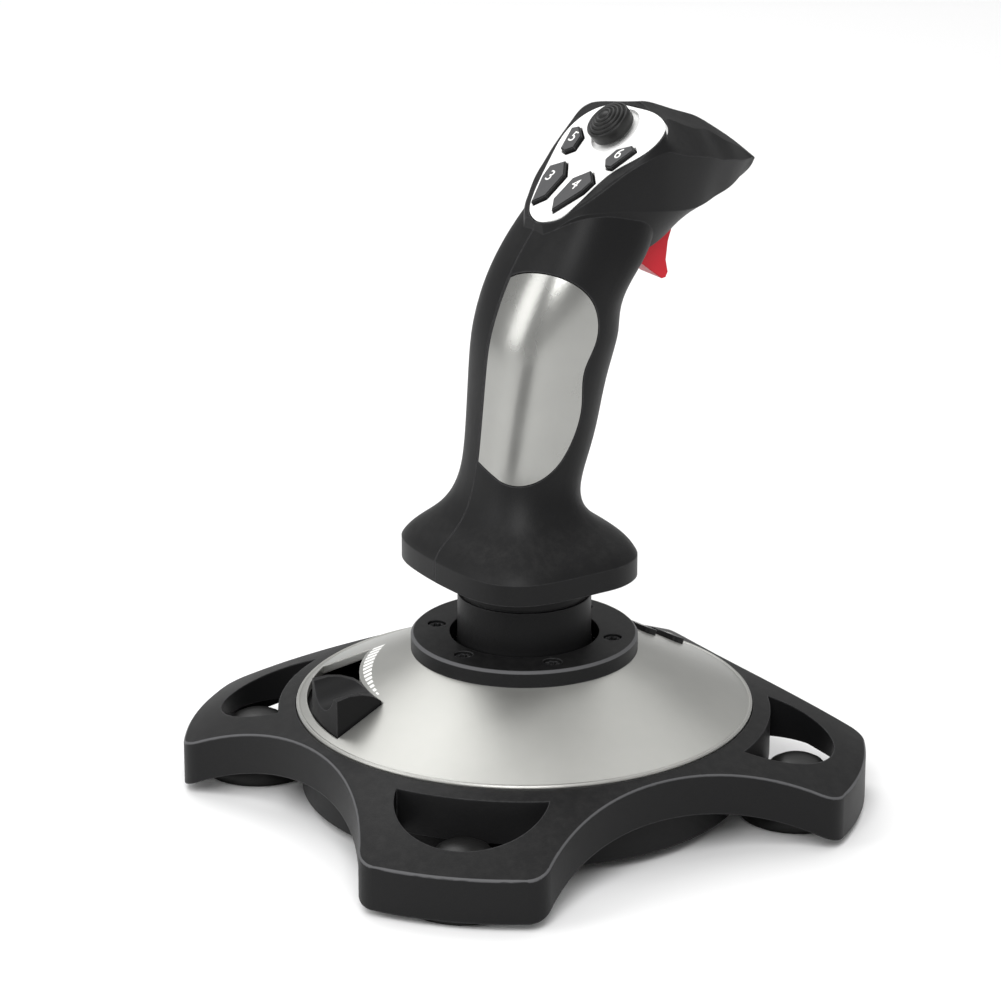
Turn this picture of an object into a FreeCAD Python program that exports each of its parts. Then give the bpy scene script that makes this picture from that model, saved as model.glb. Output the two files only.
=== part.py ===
"""Flight joystick: a four-legged suction base, a cone-shaped dome, a gimballed stick with a
hand grip, a lever throttle and twelve numbered buttons.

Millimetres. +Y is forwards (the nose of the grip), +X is the user's right, +Z is up.
The origin lies on the table, below the pivot of the stick.
"""
import FreeCAD, Part
import math
import os

from FreeCAD import Vector, Placement, Rotation

os.makedirs("parts", exist_ok=True)

# ---------------------------------------------------------------- driving dimensions
RUN = 0.05              # radial clearance of a shaft that turns in its bore

# base
LEG_REACH = 106.6       # axis to the middle of a leg's end
LEG_END_RADIUS = 98.6   # curvature of a leg's end, seen from above
BAY_DEPTH = 74.7        # axis to the nearest wall between two legs
BAY_RADIUS = 87.9       # curvature of the wall between two legs
LEG_CORNER = 7.5
LEG_ANGLES = (45, 135, 225, 315)
WALL = 2.6
FRAME_TOP = ((71.3, 29.8), (90.0, 23.8), (116.0, 11.0))
FRAME_BOTTOM = ((71.3, 17.2), (90.0, 10.6), (116.0, -3.2))
HOLE_INNER = 76.6       # inner edge of a leg's window, an arc round the axis
HOLE_HALF_WIDTH = 23.2
HOLE_REACH = 97.2
WINDOW_LIP = 1.8
FRAME_EDGE = 1.0        # rounding of the frame's upper outline
PAN_RADIUS = 69.5
PAN_FLOOR = 3.8
PAN_SCREW_CIRCLE = 60.0
PAN_SCREW_ANGLES = (55, 145, 235, 325)
CUP_PLACE = 86.0        # axis to a suction cup
CUP_RADIUS = 17.5
STRAP_Z = 12.4
STRAP_THICK = 2.4

# dome and collar
RIM_RADIUS = 70.7
RIM_Z = 30.3
COLLAR_RADIUS = 35.2
COLLAR_Z = 47.8
COLLAR_TOP = 53.0
COLLAR_OPENING = 23.2
DOME_THICK = 2.2
COLLAR_SCREW_CIRCLE = 27.8
COLLAR_SCREW_PHASE = 45

# throttle, angles are compass degrees from the front
TRACK_INNER = 51.2
TRACK_OUTER = 67.6
TRACK_START = -180.2
TRACK_END = -126.7
KNOB_REST = -170.6
KNOB_HALF = 9.0
THROTTLE_TRAVEL = 34.0

# base buttons 7 to 12, in two rows of three
BASE_BUTTON_ROWS = ((57.5, 63.0), (45.5, 51.0))
BASE_BUTTON_ANGLES = (-46.0, -27.0, -8.0)
BASE_BUTTON_HALF = 6.0
BASE_BUTTON_RISE = 1.6

INLET_Z = 10.4          # height of the cable's inlet
TOWER_SCREW_CIRCLE = 16.0

# gimbal
PIVOT_Z = 51.0
YOKE_HALF = 5.0         # half width of a yoke's ear
EAR_INNER = 7.0
EAR_OUTER = 10.0
TOWER_RADIUS = 12.0
PIN_RADIUS = 2.0
SHAFT_RADIUS = 6.0

# stick and grip
NECK_RADIUS = 20.7
NECK_BORE = 18.2
SKIRT_Z = 75.4
SHELL = 2.6
SEAM = 0.24             # gap between the two halves of the grip
PANEL_THICK = 1.6

GRIP_SCREWS = ((12.0, 114.0), (17.0, 152.0), (24.0, 180.0))     # distance forwards and height
GRIP_SCREW_HEAD_X = -13.0       # where the heads rest, in the left half
SIDE_BUTTON = Vector(0, 30, 193.0)
SIDE_BUTTON_RADIUS = 4.6

# thumb plate: its plane passes through PLATE_POINT and rises forwards at PLATE_PITCH
PLATE_PITCH = 38.96
PLATE_POINT = Vector(0, 20, 197.75)
PLATE_THICK = 1.6
BUTTON_RISE = 1.5
BUTTON_GAP = 0.55        # gap round a key, less at its corners
DECK_END = 26.9         # how far up the plate's plane the flat deck goes
HEAD_HALF_DEPTH = 17.0
HAT_S = 15.8            # hat switch, distance up the plate
HAT_RADIUS = 7.1
HAT_RECESS = 8.4
HAT_RECESS_DEPTH = 1.1
HAT_PIVOT = -3.3        # height of the hat's pivot from the plate's surface
HAT_BALL = 1.4

TRIGGER_PIVOT = Vector(0, 50.0, 181.5)
TRIGGER_HALF = 5.6
TRIGGER_PIN_HALF = 8.6
TRIGGER_SPRING = (33.4, 38.4)   # its two ends, distances forwards


# ---------------------------------------------------------------- helpers
def polar(radius, compass, z=0.0):
    """A point at a compass angle, clockwise from the front."""
    angle = math.radians(compass)
    return Vector(radius * math.sin(angle), radius * math.cos(angle), z)


def turned(shape, compass):
    """A copy turned clockwise about the vertical axis."""
    copy = shape.copy()
    copy.rotate(Vector(0, 0, 0), Vector(0, 0, 1), -compass)
    return copy


def cylinder(radius, z0, z1, place=Vector(0, 0, 0)):
    return Part.makeCylinder(radius, z1 - z0, Vector(place.x, place.y, z0))


def rod(radius, start, end):
    return Part.makeCylinder(radius, (end - start).Length, start, end - start)


def box(x0, x1, y0, y1, z0, z1):
    return Part.makeBox(x1 - x0, y1 - y0, z1 - z0, Vector(x0, y0, z0))


def prism(points, direction):
    """A closed polygon of 3-D points, pushed along a direction."""
    return Part.Face(Part.makePolygon(list(points) + [points[0]])).extrude(direction)


def turned_profile(points, start=0.0, sweep=360.0):
    """A polygon of (radius, height) turned about the vertical axis from a compass angle."""
    outline = [Vector(0, radius, z) for radius, z in points]
    face = Part.Face(Part.makePolygon(outline + [outline[0]]))
    solid = face.revolve(Vector(0, 0, 0), Vector(0, 0, 1), -sweep)
    return turned(solid, start)


def sector(inner, outer, start, end, z0, z1):
    profile = ((inner, z0), (outer, z0), (outer, z1), (inner, z1))
    return turned_profile(profile, start, end - start)


def under_curve(curve, inner, floor):
    """The solid of revolution under an arc through three (radius, height) points."""
    a, b, c = [Vector(0, radius, z) for radius, z in curve]
    low_outer = Vector(0, c.y, floor)
    low_inner = Vector(0, inner, floor)
    high_inner = Vector(0, inner, a.z)
    edges = [Part.Arc(a, b, c).toShape(), Part.makeLine(c, low_outer),
             Part.makeLine(low_outer, low_inner), Part.makeLine(low_inner, high_inner),
             Part.makeLine(high_inner, a)]
    return Part.Face(Part.Wire(edges)).revolve(Vector(0, 0, 0), Vector(0, 0, 1), 360)


def joined(shapes):
    shapes = list(shapes)
    return shapes[0].fuse(shapes[1:]).removeSplitter() if len(shapes) > 1 else shapes[0]


def mirrored(shape):
    """The same shape on the other side of the grip's middle plane."""
    return shape.mirror(Vector(0, 0, 0), Vector(1, 0, 0))


def dome_height(radius):
    """Height of the dome's outer surface, a straight cone between rim and collar."""
    span = (RIM_RADIUS - radius) / (RIM_RADIUS - COLLAR_RADIUS)
    return RIM_Z + (COLLAR_Z - RIM_Z) * span


# ---------------------------------------------------------------- base
def star(shrink, z0, z1):
    """The plan of the four-legged base, shrunk on every side."""
    body = cylinder(140, z0, z1)
    centre = BAY_DEPTH + BAY_RADIUS
    bays = [cylinder(BAY_RADIUS + shrink, z0 - 1, z1 + 1, polar(centre, angle - 45))
            for angle in LEG_ANGLES]
    ends = [cylinder(LEG_END_RADIUS - shrink, z0, z1, polar(LEG_REACH - LEG_END_RADIUS, angle))
            for angle in LEG_ANGLES]
    plan = body.cut(joined(bays)).common(joined(ends)).removeSplitter()
    corners = [edge for edge in plan.Edges if is_leg_corner(edge, z1 - z0)]
    return plan.makeFillet(LEG_CORNER - shrink, corners)


def is_leg_corner(edge, height):
    """True for an upright edge at the outer end of a leg."""
    if len(edge.Vertexes) != 2 or abs(edge.Length - height) > 0.01:
        return False
    foot = edge.Vertexes[0].Point
    return math.hypot(foot.x, foot.y) > 0.8 * LEG_REACH


def window(compass, grow, z0, z1):
    """The D-shaped window of one leg."""
    half = HOLE_HALF_WIDTH + grow
    depth = HOLE_REACH - HOLE_INNER + 2.9 + grow
    centre = HOLE_INNER - 2.9
    ellipse = Part.Ellipse(Vector(0, centre, z0), max(half, depth), min(half, depth))
    if depth > half:
        ellipse.rotate(Placement(Vector(0, centre, z0), Rotation(Vector(0, 0, 1), 90)))
        ellipse.Center = Vector(0, centre, z0)
    oval = Part.Face(Part.Wire(ellipse.toShape())).extrude(Vector(0, 0, z1 - z0))
    return turned(oval.cut(cylinder(HOLE_INNER - grow, z0 - 1, z1 + 1)), compass)


def upper_edges(block):
    """The outline of the frame's top: its edges above the table that aren't upright."""
    chosen = []
    for edge in block.Edges:
        bounds = edge.BoundBox
        level = max(bounds.XLength, bounds.YLength) > 0.5
        if level and bounds.ZMin > 0 and len(block.ancestorsOfType(edge, Part.Face)) == 2:
            chosen.append(edge)
    return chosen


def make_base_frame():
    """The black frame: a thin sloping top with downturned walls, four windows and four straps."""
    outer = star(0, -8, 40)
    inner = star(WALL, -9, 39)
    top = under_curve(FRAME_TOP, 1, -10)
    bottom = under_curve(FRAME_BOTTOM, 1, -12)
    lowered = top.copy()
    lowered.translate(Vector(0, 0, -WALL))
    block = outer.common(top)
    body = block.makeFillet(FRAME_EDGE, upper_edges(block)).cut(bottom)
    hollow = inner.common(lowered)
    ring = sector(PAN_RADIUS + 0.3, PAN_RADIUS + 3.2, 0, 360, 17.2, 28.5)
    frame = body.cut(hollow)
    extras = [ring.common(top)]
    for angle in LEG_ANGLES:
        lip = window(angle, WINDOW_LIP, 12, 40).cut(window(angle, 0, 11, 41)).common(top)
        extras.append(lip.cut(turned(box(-40, 40, 60, 120, 0, STRAP_Z + STRAP_THICK), angle)))
        strap = box(-4.5, 4.5, PAN_RADIUS + 1.0, LEG_REACH - 1.2, STRAP_Z, STRAP_Z + STRAP_THICK)
        strap = turned(strap, angle)
        post = turned(box(-4.5, 4.5, PAN_RADIUS + 0.4, PAN_RADIUS + 3.2, STRAP_Z, 20), angle)
        extras += [strap, post]
    frame = joined([frame] + extras)
    holes = [window(angle, 0, STRAP_Z + STRAP_THICK, 41) for angle in LEG_ANGLES]
    necks = [cylinder(4.0 + RUN, 0, 20, polar(CUP_PLACE, angle)) for angle in LEG_ANGLES]
    opening = [cylinder(PAN_RADIUS + 0.3, -12, 27.0), cylinder(RIM_RADIUS + 0.5, 26.9, 41)]
    return frame.cut(joined(holes + opening)).cut(joined(necks))


def make_bottom_pan():
    """A round pan that closes the base from below and carries the works."""
    cup = cylinder(PAN_RADIUS, PAN_FLOOR, 26.6).cut(cylinder(PAN_RADIUS - 2.4, PAN_FLOOR + 2.5, 27))
    bosses = [cylinder(4.2, PAN_FLOOR + 2.0, 24.0, polar(PAN_SCREW_CIRCLE, angle))
              for angle in PAN_SCREW_ANGLES]
    pan = joined([cup] + bosses)
    holes = [cylinder(1.6, 0, 27, polar(PAN_SCREW_CIRCLE, angle)) for angle in PAN_SCREW_ANGLES]
    sinks = [cylinder(3.2, 0, PAN_FLOOR + 1.9, polar(PAN_SCREW_CIRCLE, angle))
             for angle in PAN_SCREW_ANGLES]
    inlet = rod(3.6, Vector(0, PAN_RADIUS - 6, INLET_Z), Vector(0, PAN_RADIUS + 3, INLET_Z))
    pilots = [cylinder(1.5, PAN_FLOOR + 0.8, 8, polar(TOWER_SCREW_CIRCLE, angle)) for angle in LEG_ANGLES]
    return pan.cut(joined(holes + sinks + pilots + [inlet]))


def make_bottom_screws():
    screws = []
    for angle in PAN_SCREW_ANGLES:
        place = polar(PAN_SCREW_CIRCLE, angle)
        head = cylinder(2.9, PAN_FLOOR + 0.2, PAN_FLOOR + 1.9, place)
        shank = cylinder(1.5, PAN_FLOOR + 1.9, 23.0, place)
        slot = turned(box(-2.0, 2.0, 59.6, 60.4, PAN_FLOOR, PAN_FLOOR + 0.9), angle)
        screws.append(joined([head, shank]).cut(slot))
    return Part.makeCompound(screws)


def make_suction_cup(compass):
    """A soft cup with a stem that buttons through the strap of its leg."""
    profile = ((0, 8.0), (9.0, 7.0), (15.0, 3.2), (CUP_RADIUS - 1.4, 0), (CUP_RADIUS, 0),
               (CUP_RADIUS, 0.8), (16.6, 4.6), (14.6, 8.0), (11.4, 10.6), (7.0, 12.2), (4.0, 12.2),
               (4.0, STRAP_Z + STRAP_THICK + 0.1), (5.8, STRAP_Z + STRAP_THICK + 0.1),
               (5.0, STRAP_Z + 4.4), (0, STRAP_Z + 5.2))
    cup = turned_profile(profile)
    cup.translate(polar(CUP_PLACE, compass))
    return cup


def make_cable_inlet():
    """A grommet at the front of the pan where the cable enters."""
    outer = rod(3.5, Vector(0, PAN_RADIUS - 4.4, INLET_Z), Vector(0, PAN_RADIUS + 0.2, INLET_Z))
    flange = rod(5.2, Vector(0, PAN_RADIUS + 0.2, INLET_Z), Vector(0, PAN_RADIUS + 1.8, INLET_Z))
    bore = rod(2.2, Vector(0, PAN_RADIUS - 6, INLET_Z), Vector(0, PAN_RADIUS + 4, INLET_Z))
    return joined([outer, flange]).cut(bore)


# ---------------------------------------------------------------- dome
def base_button_shape(row, compass, grow, depth, rise):
    """One base button: a ring sector that stands square to the dome's surface."""
    inner, outer = row
    middle = 0.5 * (inner + outer)
    half = BASE_BUTTON_HALF + grow
    length = 0.5 * (outer - inner) + grow
    block = box(-half, half, -length, length, -depth, rise)
    uprights = [edge for edge in block.Edges if abs(edge.Length - depth - rise) < 0.01]
    block = block.makeFillet(1.6 + grow, uprights)
    tilt = math.degrees(math.atan2(COLLAR_Z - RIM_Z, RIM_RADIUS - COLLAR_RADIUS))
    block.rotate(Vector(0, 0, 0), Vector(1, 0, 0), -tilt)
    block.translate(Vector(0, middle, dome_height(middle)))
    return turned(block, compass)


def base_buttons():
    """(number, row, compass) of the six base buttons."""
    number = 7
    for row in BASE_BUTTON_ROWS:
        for compass in BASE_BUTTON_ANGLES:
            yield number, row, compass
            number += 1


def make_dome_cover():
    """The silver cone between the rim and the collar, open in the middle."""
    profile = ((RIM_RADIUS, 27.2), (RIM_RADIUS, RIM_Z), (COLLAR_RADIUS, COLLAR_Z), (25.0, COLLAR_Z),
               (25.0, COLLAR_Z - DOME_THICK), (COLLAR_RADIUS - 0.6, COLLAR_Z - DOME_THICK),
               (RIM_RADIUS - 2.0, RIM_Z - DOME_THICK + 0.5), (RIM_RADIUS - 2.0, 27.2))
    dome = turned_profile(profile)
    slot = sector(TRACK_INNER, TRACK_OUTER, TRACK_START, TRACK_END, 22, 50)
    holes = [base_button_shape(row, compass, 0.3, 6, 4) for number, row, compass in base_buttons()]
    screws = [cylinder(1.3, 40, 60, spot) for spot in collar_screw_places()]
    return dome.cut(joined([slot] + holes)).cut(joined(screws))


def collar_screw_places():
    return [polar(COLLAR_SCREW_CIRCLE, COLLAR_SCREW_PHASE + 60 * step) for step in range(6)]


def make_collar():
    """The black collar on top of the dome, with six screw recesses."""
    edge = 0.8
    profile = ((COLLAR_OPENING, COLLAR_Z), (COLLAR_RADIUS, COLLAR_Z), (COLLAR_RADIUS, COLLAR_TOP - edge),
               (COLLAR_RADIUS - edge, COLLAR_TOP), (COLLAR_OPENING, COLLAR_TOP))
    collar = turned_profile(profile)
    recesses = [cylinder(2.9, COLLAR_TOP - 2.2, COLLAR_TOP + 1, spot) for spot in collar_screw_places()]
    holes = [cylinder(1.3, 40, 60, spot) for spot in collar_screw_places()]
    return collar.cut(joined(recesses + holes))


def make_collar_screws():
    screws = []
    for spot in collar_screw_places():
        head = cylinder(2.6, COLLAR_TOP - 2.2, COLLAR_TOP - 0.7, spot)
        shank = cylinder(1.25, COLLAR_Z - 5.0, COLLAR_TOP - 2.2, spot)
        slot = box(-1.7, 1.7, -0.35, 0.35, COLLAR_TOP - 1.5, COLLAR_TOP)
        cross = slot.fuse(turned(slot, 90))
        cross.translate(spot)
        screws.append(joined([head, shank]).cut(cross))
    return Part.makeCompound(screws)


# ---------------------------------------------------------------- works in the base


def make_gimbal_tower():
    """The fixed post in the middle of the pan, with the two ears of the lower yoke."""
    foot = cylinder(20, PAN_FLOOR + 2.5, PAN_FLOOR + 6.0)
    post = cylinder(TOWER_RADIUS, PAN_FLOOR + 6.0, 43.0)
    ears = []
    for side in (-1, 1):
        low, high = sorted((side * EAR_INNER, side * EAR_OUTER))
        ear = box(-YOKE_HALF, YOKE_HALF, low, high, 42.0, PIVOT_Z)
        cap = rod(YOKE_HALF - 1.2, Vector(0, low, PIVOT_Z), Vector(0, high, PIVOT_Z))
        ears += [ear, cap]
    bore = rod(PIN_RADIUS + RUN, Vector(0, -12, PIVOT_Z), Vector(0, 12, PIVOT_Z))
    core = cylinder(5.0, 0, 44)
    holes = [cylinder(1.6, 0, 20, polar(TOWER_SCREW_CIRCLE, angle)) for angle in LEG_ANGLES]
    return joined([foot, post] + ears).cut(joined([bore, core] + holes))


def make_tower_screws():
    top = PAN_FLOOR + 6.0
    screws = []
    for angle in LEG_ANGLES:
        head = cylinder(2.6, top, top + 1.6, polar(TOWER_SCREW_CIRCLE, angle))
        shank = cylinder(1.5, top - 5.0, top, polar(TOWER_SCREW_CIRCLE, angle))
        slot = turned(box(-1.9, 1.9, 15.6, 16.4, top + 0.8, top + 2), angle)
        screws.append(joined([head, shank]).cut(slot))
    return Part.makeCompound(screws)


def make_gimbal_cross():
    half = EAR_INNER - 0.4
    block = box(-half, half, -half, half, PIVOT_Z - 3.4, PIVOT_Z + 3.4)
    uprights = [edge for edge in block.Edges if abs(edge.Length - 6.8) < 0.01]
    block = block.makeFillet(2.0, uprights)
    bores = [rod(PIN_RADIUS, Vector(0, -12, PIVOT_Z), Vector(0, -3.0, PIVOT_Z)),
             rod(PIN_RADIUS, Vector(0, 3.0, PIVOT_Z), Vector(0, 12, PIVOT_Z)),
             rod(PIN_RADIUS, Vector(-12, 0, PIVOT_Z), Vector(-3.0, 0, PIVOT_Z)),
             rod(PIN_RADIUS, Vector(3.0, 0, PIVOT_Z), Vector(12, 0, PIVOT_Z))]
    return block.cut(joined(bores))


def make_pins(direction):
    """Two stub pins of the cross, one each side of its middle."""
    centre = Vector(0, 0, PIVOT_Z)
    pins = [rod(PIN_RADIUS, centre + direction * (side * 3.0), centre + direction * (side * 10.6))
            for side in (-1, 1)]
    return Part.makeCompound(pins)


def make_main_board():
    board = box(-26, 26, -56, -30, 12, 13.6)
    chips = [box(-16, -4, -50, -38, 13.6, 15.2), box(6, 14, -48, -40, 13.6, 15.0),
             box(-23, -19, -54, -34, 13.6, 19.0)]
    posts = [cylinder(2.2, PAN_FLOOR + 2.5, 12, Vector(x, y, 0)) for x in (-22, 22) for y in (-52, -34)]
    return joined([board] + chips + posts)


def make_button_board():
    """The board under the six base buttons, parallel to the front of the dome."""
    middle = sum(BASE_BUTTON_ANGLES) / 3.0
    depth = 6.4
    board = box(-26, 26, -10.5, 8.5, -depth - 1.6, -depth)
    tilt = math.degrees(math.atan2(COLLAR_Z - RIM_Z, RIM_RADIUS - COLLAR_RADIUS))
    board.rotate(Vector(0, 0, 0), Vector(1, 0, 0), -tilt)
    board.translate(Vector(0, 50, dome_height(54) - 3.0))
    keep = cylinder(PAN_RADIUS - 4.0, 0, 60).cut(cylinder(27, 0, 60))
    return turned(board, middle).common(keep)


def make_throttle_track():
    """The dark floor of the throttle slot, with a narrow slit for the lever."""
    top = 28.0
    floor = sector(TRACK_INNER - 1.5, TRACK_OUTER - 0.8, TRACK_START - 1, TRACK_END + 1, top - 1.8, top)
    slit = sector(56.4, 62.6, KNOB_REST - 5.5, KNOB_REST + THROTTLE_TRAVEL + 5.5, 20, 35)
    return floor.cut(slit)


def make_throttle_arm():
    """A ring that turns on the tower, with an arm out to the knob."""
    hub = sector(TOWER_RADIUS + RUN, 16.0, 0, 360, 20.0, 24.0)
    arm = turned(box(-3.5, 3.5, 14.0, 61.8, 20.5, 23.5), KNOB_REST)
    stem = turned(box(-3.5, 3.5, 57.2, 61.8, 20.5, 32.0), KNOB_REST)
    return joined([hub, arm, stem]).cut(cylinder(TOWER_RADIUS + RUN, 0, 60))


def make_throttle_knob():
    """A saddle-shaped thumb lever: two humps with a scooped hollow between them."""
    inner = TRACK_INNER + 0.4
    outer = TRACK_OUTER - 0.4
    low = 28.4
    profile = ((inner, low), (outer, low), (outer, 43.6), (62.5, 44.3), (58.5, 43.9), (54.5, 42.6), (inner, 40.6))
    crown = turned_profile(profile, KNOB_REST - KNOB_HALF, 2 * KNOB_HALF)
    centre = polar(59.5, KNOB_REST, 48.5)
    out = polar(1.0, KNOB_REST, -0.215)
    scoop = rod(9.0, centre - out * 30, centre + out * 30)
    knob = crown.cut(scoop)
    socket = turned(box(-3.6, 3.6, 57.1, 61.9, 20, 32.1), KNOB_REST)
    return knob.cut(socket)


def make_throttle_sensor():
    body = turned(box(-7, 7, 17.0, 30.0, 12.0, 18.5), -150)
    legs = turned(box(-1.5, 1.5, 24.0, 27.0, PAN_FLOOR + 2.5, 12.0), -150)
    return joined([body, legs])


# ---------------------------------------------------------------- springs
def make_coil(radius, wire, z0, z1, turns):
    """A closed-end compression spring, standing on the vertical axis."""
    pitch = (z1 - z0 - 2 * wire) / turns
    helix = Part.makeHelix(pitch, z1 - z0 - 2 * wire, radius)
    helix.translate(Vector(0, 0, z0 + wire))
    section = Part.Wire(Part.makeCircle(wire, Vector(radius, 0, z0 + wire), Vector(0, 1, 0)))
    return Part.Wire(helix.Edges).makePipeShell([section], True, True)


# ---------------------------------------------------------------- stick
def make_neck_sleeve():
    """The round neck between the collar and the skirt of the grip."""
    profile = ((NECK_BORE, 49.8), (NECK_RADIUS + 0.3, 49.8), (NECK_RADIUS, 53.5), (NECK_RADIUS, 66.2),
               (NECK_RADIUS - 0.9, 66.2), (NECK_RADIUS - 0.9, SKIRT_Z + 2.8), (23.0, SKIRT_Z + 2.8),
               (23.0, SKIRT_Z + 5.0), (NECK_BORE, SKIRT_Z + 5.0))
    return turned_profile(profile)


def make_stick_hub():
    """The upper yoke: two ears on a disc, with a socket for the shaft."""
    disc = cylinder(NECK_BORE - RUN, 61.0, 64.6)
    socket = cylinder(9.0, 64.6, 86.0)
    ears = []
    for side in (-1, 1):
        low, high = sorted((side * EAR_INNER, side * EAR_OUTER))
        ears.append(box(low, high, -YOKE_HALF, YOKE_HALF, PIVOT_Z, 61.5))
        ears.append(rod(YOKE_HALF - 1.2, Vector(low, 0, PIVOT_Z), Vector(high, 0, PIVOT_Z)))
    bore = rod(PIN_RADIUS + RUN, Vector(-12, 0, PIVOT_Z), Vector(12, 0, PIVOT_Z))
    shaft = cylinder(SHAFT_RADIUS + RUN, 68.0, 90.0)
    return joined([disc, socket] + ears).cut(joined([bore, shaft]))


def make_stick_shaft():
    return cylinder(SHAFT_RADIUS, 68.0, 142.0).cut(cylinder(SHAFT_RADIUS - 1.4, 67.0, 143.0))


def section(z, back, front, half_width, power, inset):
    """A level section of the grip: a superellipse between a back and a front."""
    centre = 0.5 * (back + front)
    depth = 0.5 * (front - back) - inset
    width = half_width - inset
    points = []
    count = 20
    for step in range(count):
        angle = 2 * math.pi * (step + 0.5) / count
        c, s = math.cos(angle), math.sin(angle)
        x = math.copysign(abs(c) ** (2.0 / power), c) * width
        y = math.copysign(abs(s) ** (2.0 / power), s) * depth
        points.append(Vector(x, centre + y, z))
    curve = Part.BSplineCurve()
    curve.interpolate(points, PeriodicFlag=True)
    return Part.Wire(curve.toShape())


# height, back, front, half width and squareness of the grip, from the skirt up
GRIP_SECTIONS = (
    (SKIRT_Z, -32.3, 28.1, 35.3, 3.3),
    (82.0, -32.3, 28.1, 35.3, 3.3),
    (84.0, -31.4, 27.2, 34.0, 3.2),
    (90.0, -25.8, 20.4, 27.4, 2.9),
    (97.0, -20.8, 14.6, 21.6, 2.6),
    (106.0, -18.2, 16.0, 18.6, 2.5),
    (118.0, -16.6, 20.2, 18.8, 2.5),
    (132.0, -15.2, 23.0, 20.2, 2.5),
    (146.0, -13.6, 26.8, 21.6, 2.5),
    (158.0, -10.2, 28.4, 22.0, 2.5),
    (168.0, -5.6, 34.2, 21.6, 2.6),
    (178.0, 0.8, 40.0, 19.8, 2.8),
    (187.0, 8.0, 44.0, 17.4, 3.0),
)


def grip_column(inset):
    """The hand grip from the skirt up to the head; a larger inset gives its hollow."""
    rows = GRIP_SECTIONS
    wires = [section(z, back, front, width, power, inset) for z, back, front, width, power in rows[1:]]
    upper = Part.makeLoft(wires, True, False)
    z, back, front, width, power = rows[0]
    skirt_face = Part.Face(section(z + inset, back, front, width, power, inset))
    skirt = skirt_face.extrude(Vector(0, 0, rows[1][0] - z - inset))
    return joined([skirt, upper])


# the right side of the head, from its heel to the tip of the nose: distance forwards, height of
# the crest, then across and height of the plate's border, the ridge, the crease and the keel
HEAD_SECTIONS = (
    (3.0, 187.4, (3.6, 184.2), (4.6, 183.2), (5.2, 181.0), (4.0, 176.0)),
    (6.0, 189.6, (8.4, 186.8), (9.2, 186.0), (10.0, 184.0), (7.0, 174.0)),
    (11.0, 193.6, (12.2, 190.8), (13.8, 190.0), (14.6, 187.6), (9.0, 172.0)),
    (16.0, 197.6, (14.4, 195.0), (16.8, 194.2), (17.0, 188.0), (10.5, 172.0)),
    (21.0, 201.6, (17.0, 199.2), (18.9, 198.2), (18.2, 187.9), (11.5, 172.0)),
    (26.0, 205.6, (19.8, 203.2), (20.9, 201.6), (19.0, 187.4), (12.2, 172.0)),
    (31.0, 209.8, (21.3, 207.2), (22.2, 203.9), (19.5, 186.8), (12.4, 172.0)),
    (35.5, 213.6, (21.4, 210.6), (22.7, 205.1), (19.7, 186.3), (12.2, 172.8)),
    (42.0, 215.4, (12.6, 212.4), (21.6, 203.3), (18.8, 185.3), (10.8, 174.8)),
    (50.0, 212.8, (10.0, 209.2), (19.5, 201.2), (16.6, 184.5), (7.6, 177.9)),
    (58.0, 209.8, (8.4, 206.4), (16.6, 198.9), (13.0, 184.8), (3.4, 180.6)),
    (66.0, 205.8, (6.4, 202.6), (12.6, 196.5), (9.4, 185.8), (2.4, 182.2)),
    (74.0, 200.4, (4.1, 198.4), (8.0, 194.3), (5.6, 187.6), (1.6, 184.9)),
    (79.0, 196.6, (2.3, 195.4), (4.4, 193.2), (3.0, 189.6), (1.0, 187.3)),
    (84.0, 192.5, (0.4, 192.4), (0.8, 192.1), (0.7, 191.8), (0.4, 191.5)),
)


def head_section(y, crest, right_side):
    right = [Vector(x, y, z) for x, z in right_side]
    left = [Vector(-point.x, y, point.z) for point in reversed(right)]
    corners = [Vector(0, y, crest)] + right + left
    return Part.makePolygon(corners + [corners[0]])


def head_block(inset):
    """The head that carries the thumb plate and ends in the nose."""
    wires = [head_section(y, crest, side) for y, crest, *side in HEAD_SECTIONS]
    block = Part.makeLoft(wires, True, False)
    foot = plate_point(0, -40)
    brow = plate_point(0, DECK_END)
    deck = ((foot.y, foot.z), (brow.y, brow.z), (brow.y + 0.8, 230.0), (foot.y, 230.0))
    block = block.cut(prism([Vector(-40, y, z) for y, z in deck], Vector(80, 0, 0)))
    if inset:
        shrunk = block.copy()
        shrunk.scale(1.0 - inset / HEAD_HALF_DEPTH, Vector(0, 34, 193))
        return shrunk
    return block


def grip_body(inset):
    return joined([grip_column(inset), head_block(inset)])


def plate_point(x, s, h=0.0):
    """A point on the thumb plate: across, up the plate and out of it."""
    pitch = math.radians(PLATE_PITCH)
    up = Vector(0, math.cos(pitch), math.sin(pitch))
    out = Vector(0, -math.sin(pitch), math.cos(pitch))
    return PLATE_POINT + Vector(x, 0, 0) + up * s + out * h


def plate_axis():
    pitch = math.radians(PLATE_PITCH)
    return Vector(0, -math.sin(pitch), math.cos(pitch))


def plate_prism(outline, low, high):
    points = [plate_point(x, s, low) for x, s in outline]
    return prism(points, plate_axis() * (high - low))


def grown(outline, amount):
    """The outline moved outwards, corner by corner, from its middle."""
    cx = sum(x for x, s in outline) / len(outline)
    cs = sum(s for x, s in outline) / len(outline)
    result = []
    for x, s in outline:
        reach = math.hypot(x - cx, s - cs)
        result.append((x + amount * (x - cx) / reach, s + amount * (s - cs) / reach))
    return result


# buttons on the right half of the thumb plate: across and up the plate
LOWER_BUTTON = ((2.4, -4.8), (6.9, -0.4), (11.4, -3.6), (10.6, -8.0), (5.6, -17.4), (2.2, -13.6))
UPPER_BUTTON = ((16.6, 10.9), (14.2, 12.2), (9.6, 9.3), (8.5, 4.8), (10.9, 2.6), (13.6, 3.0))


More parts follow.
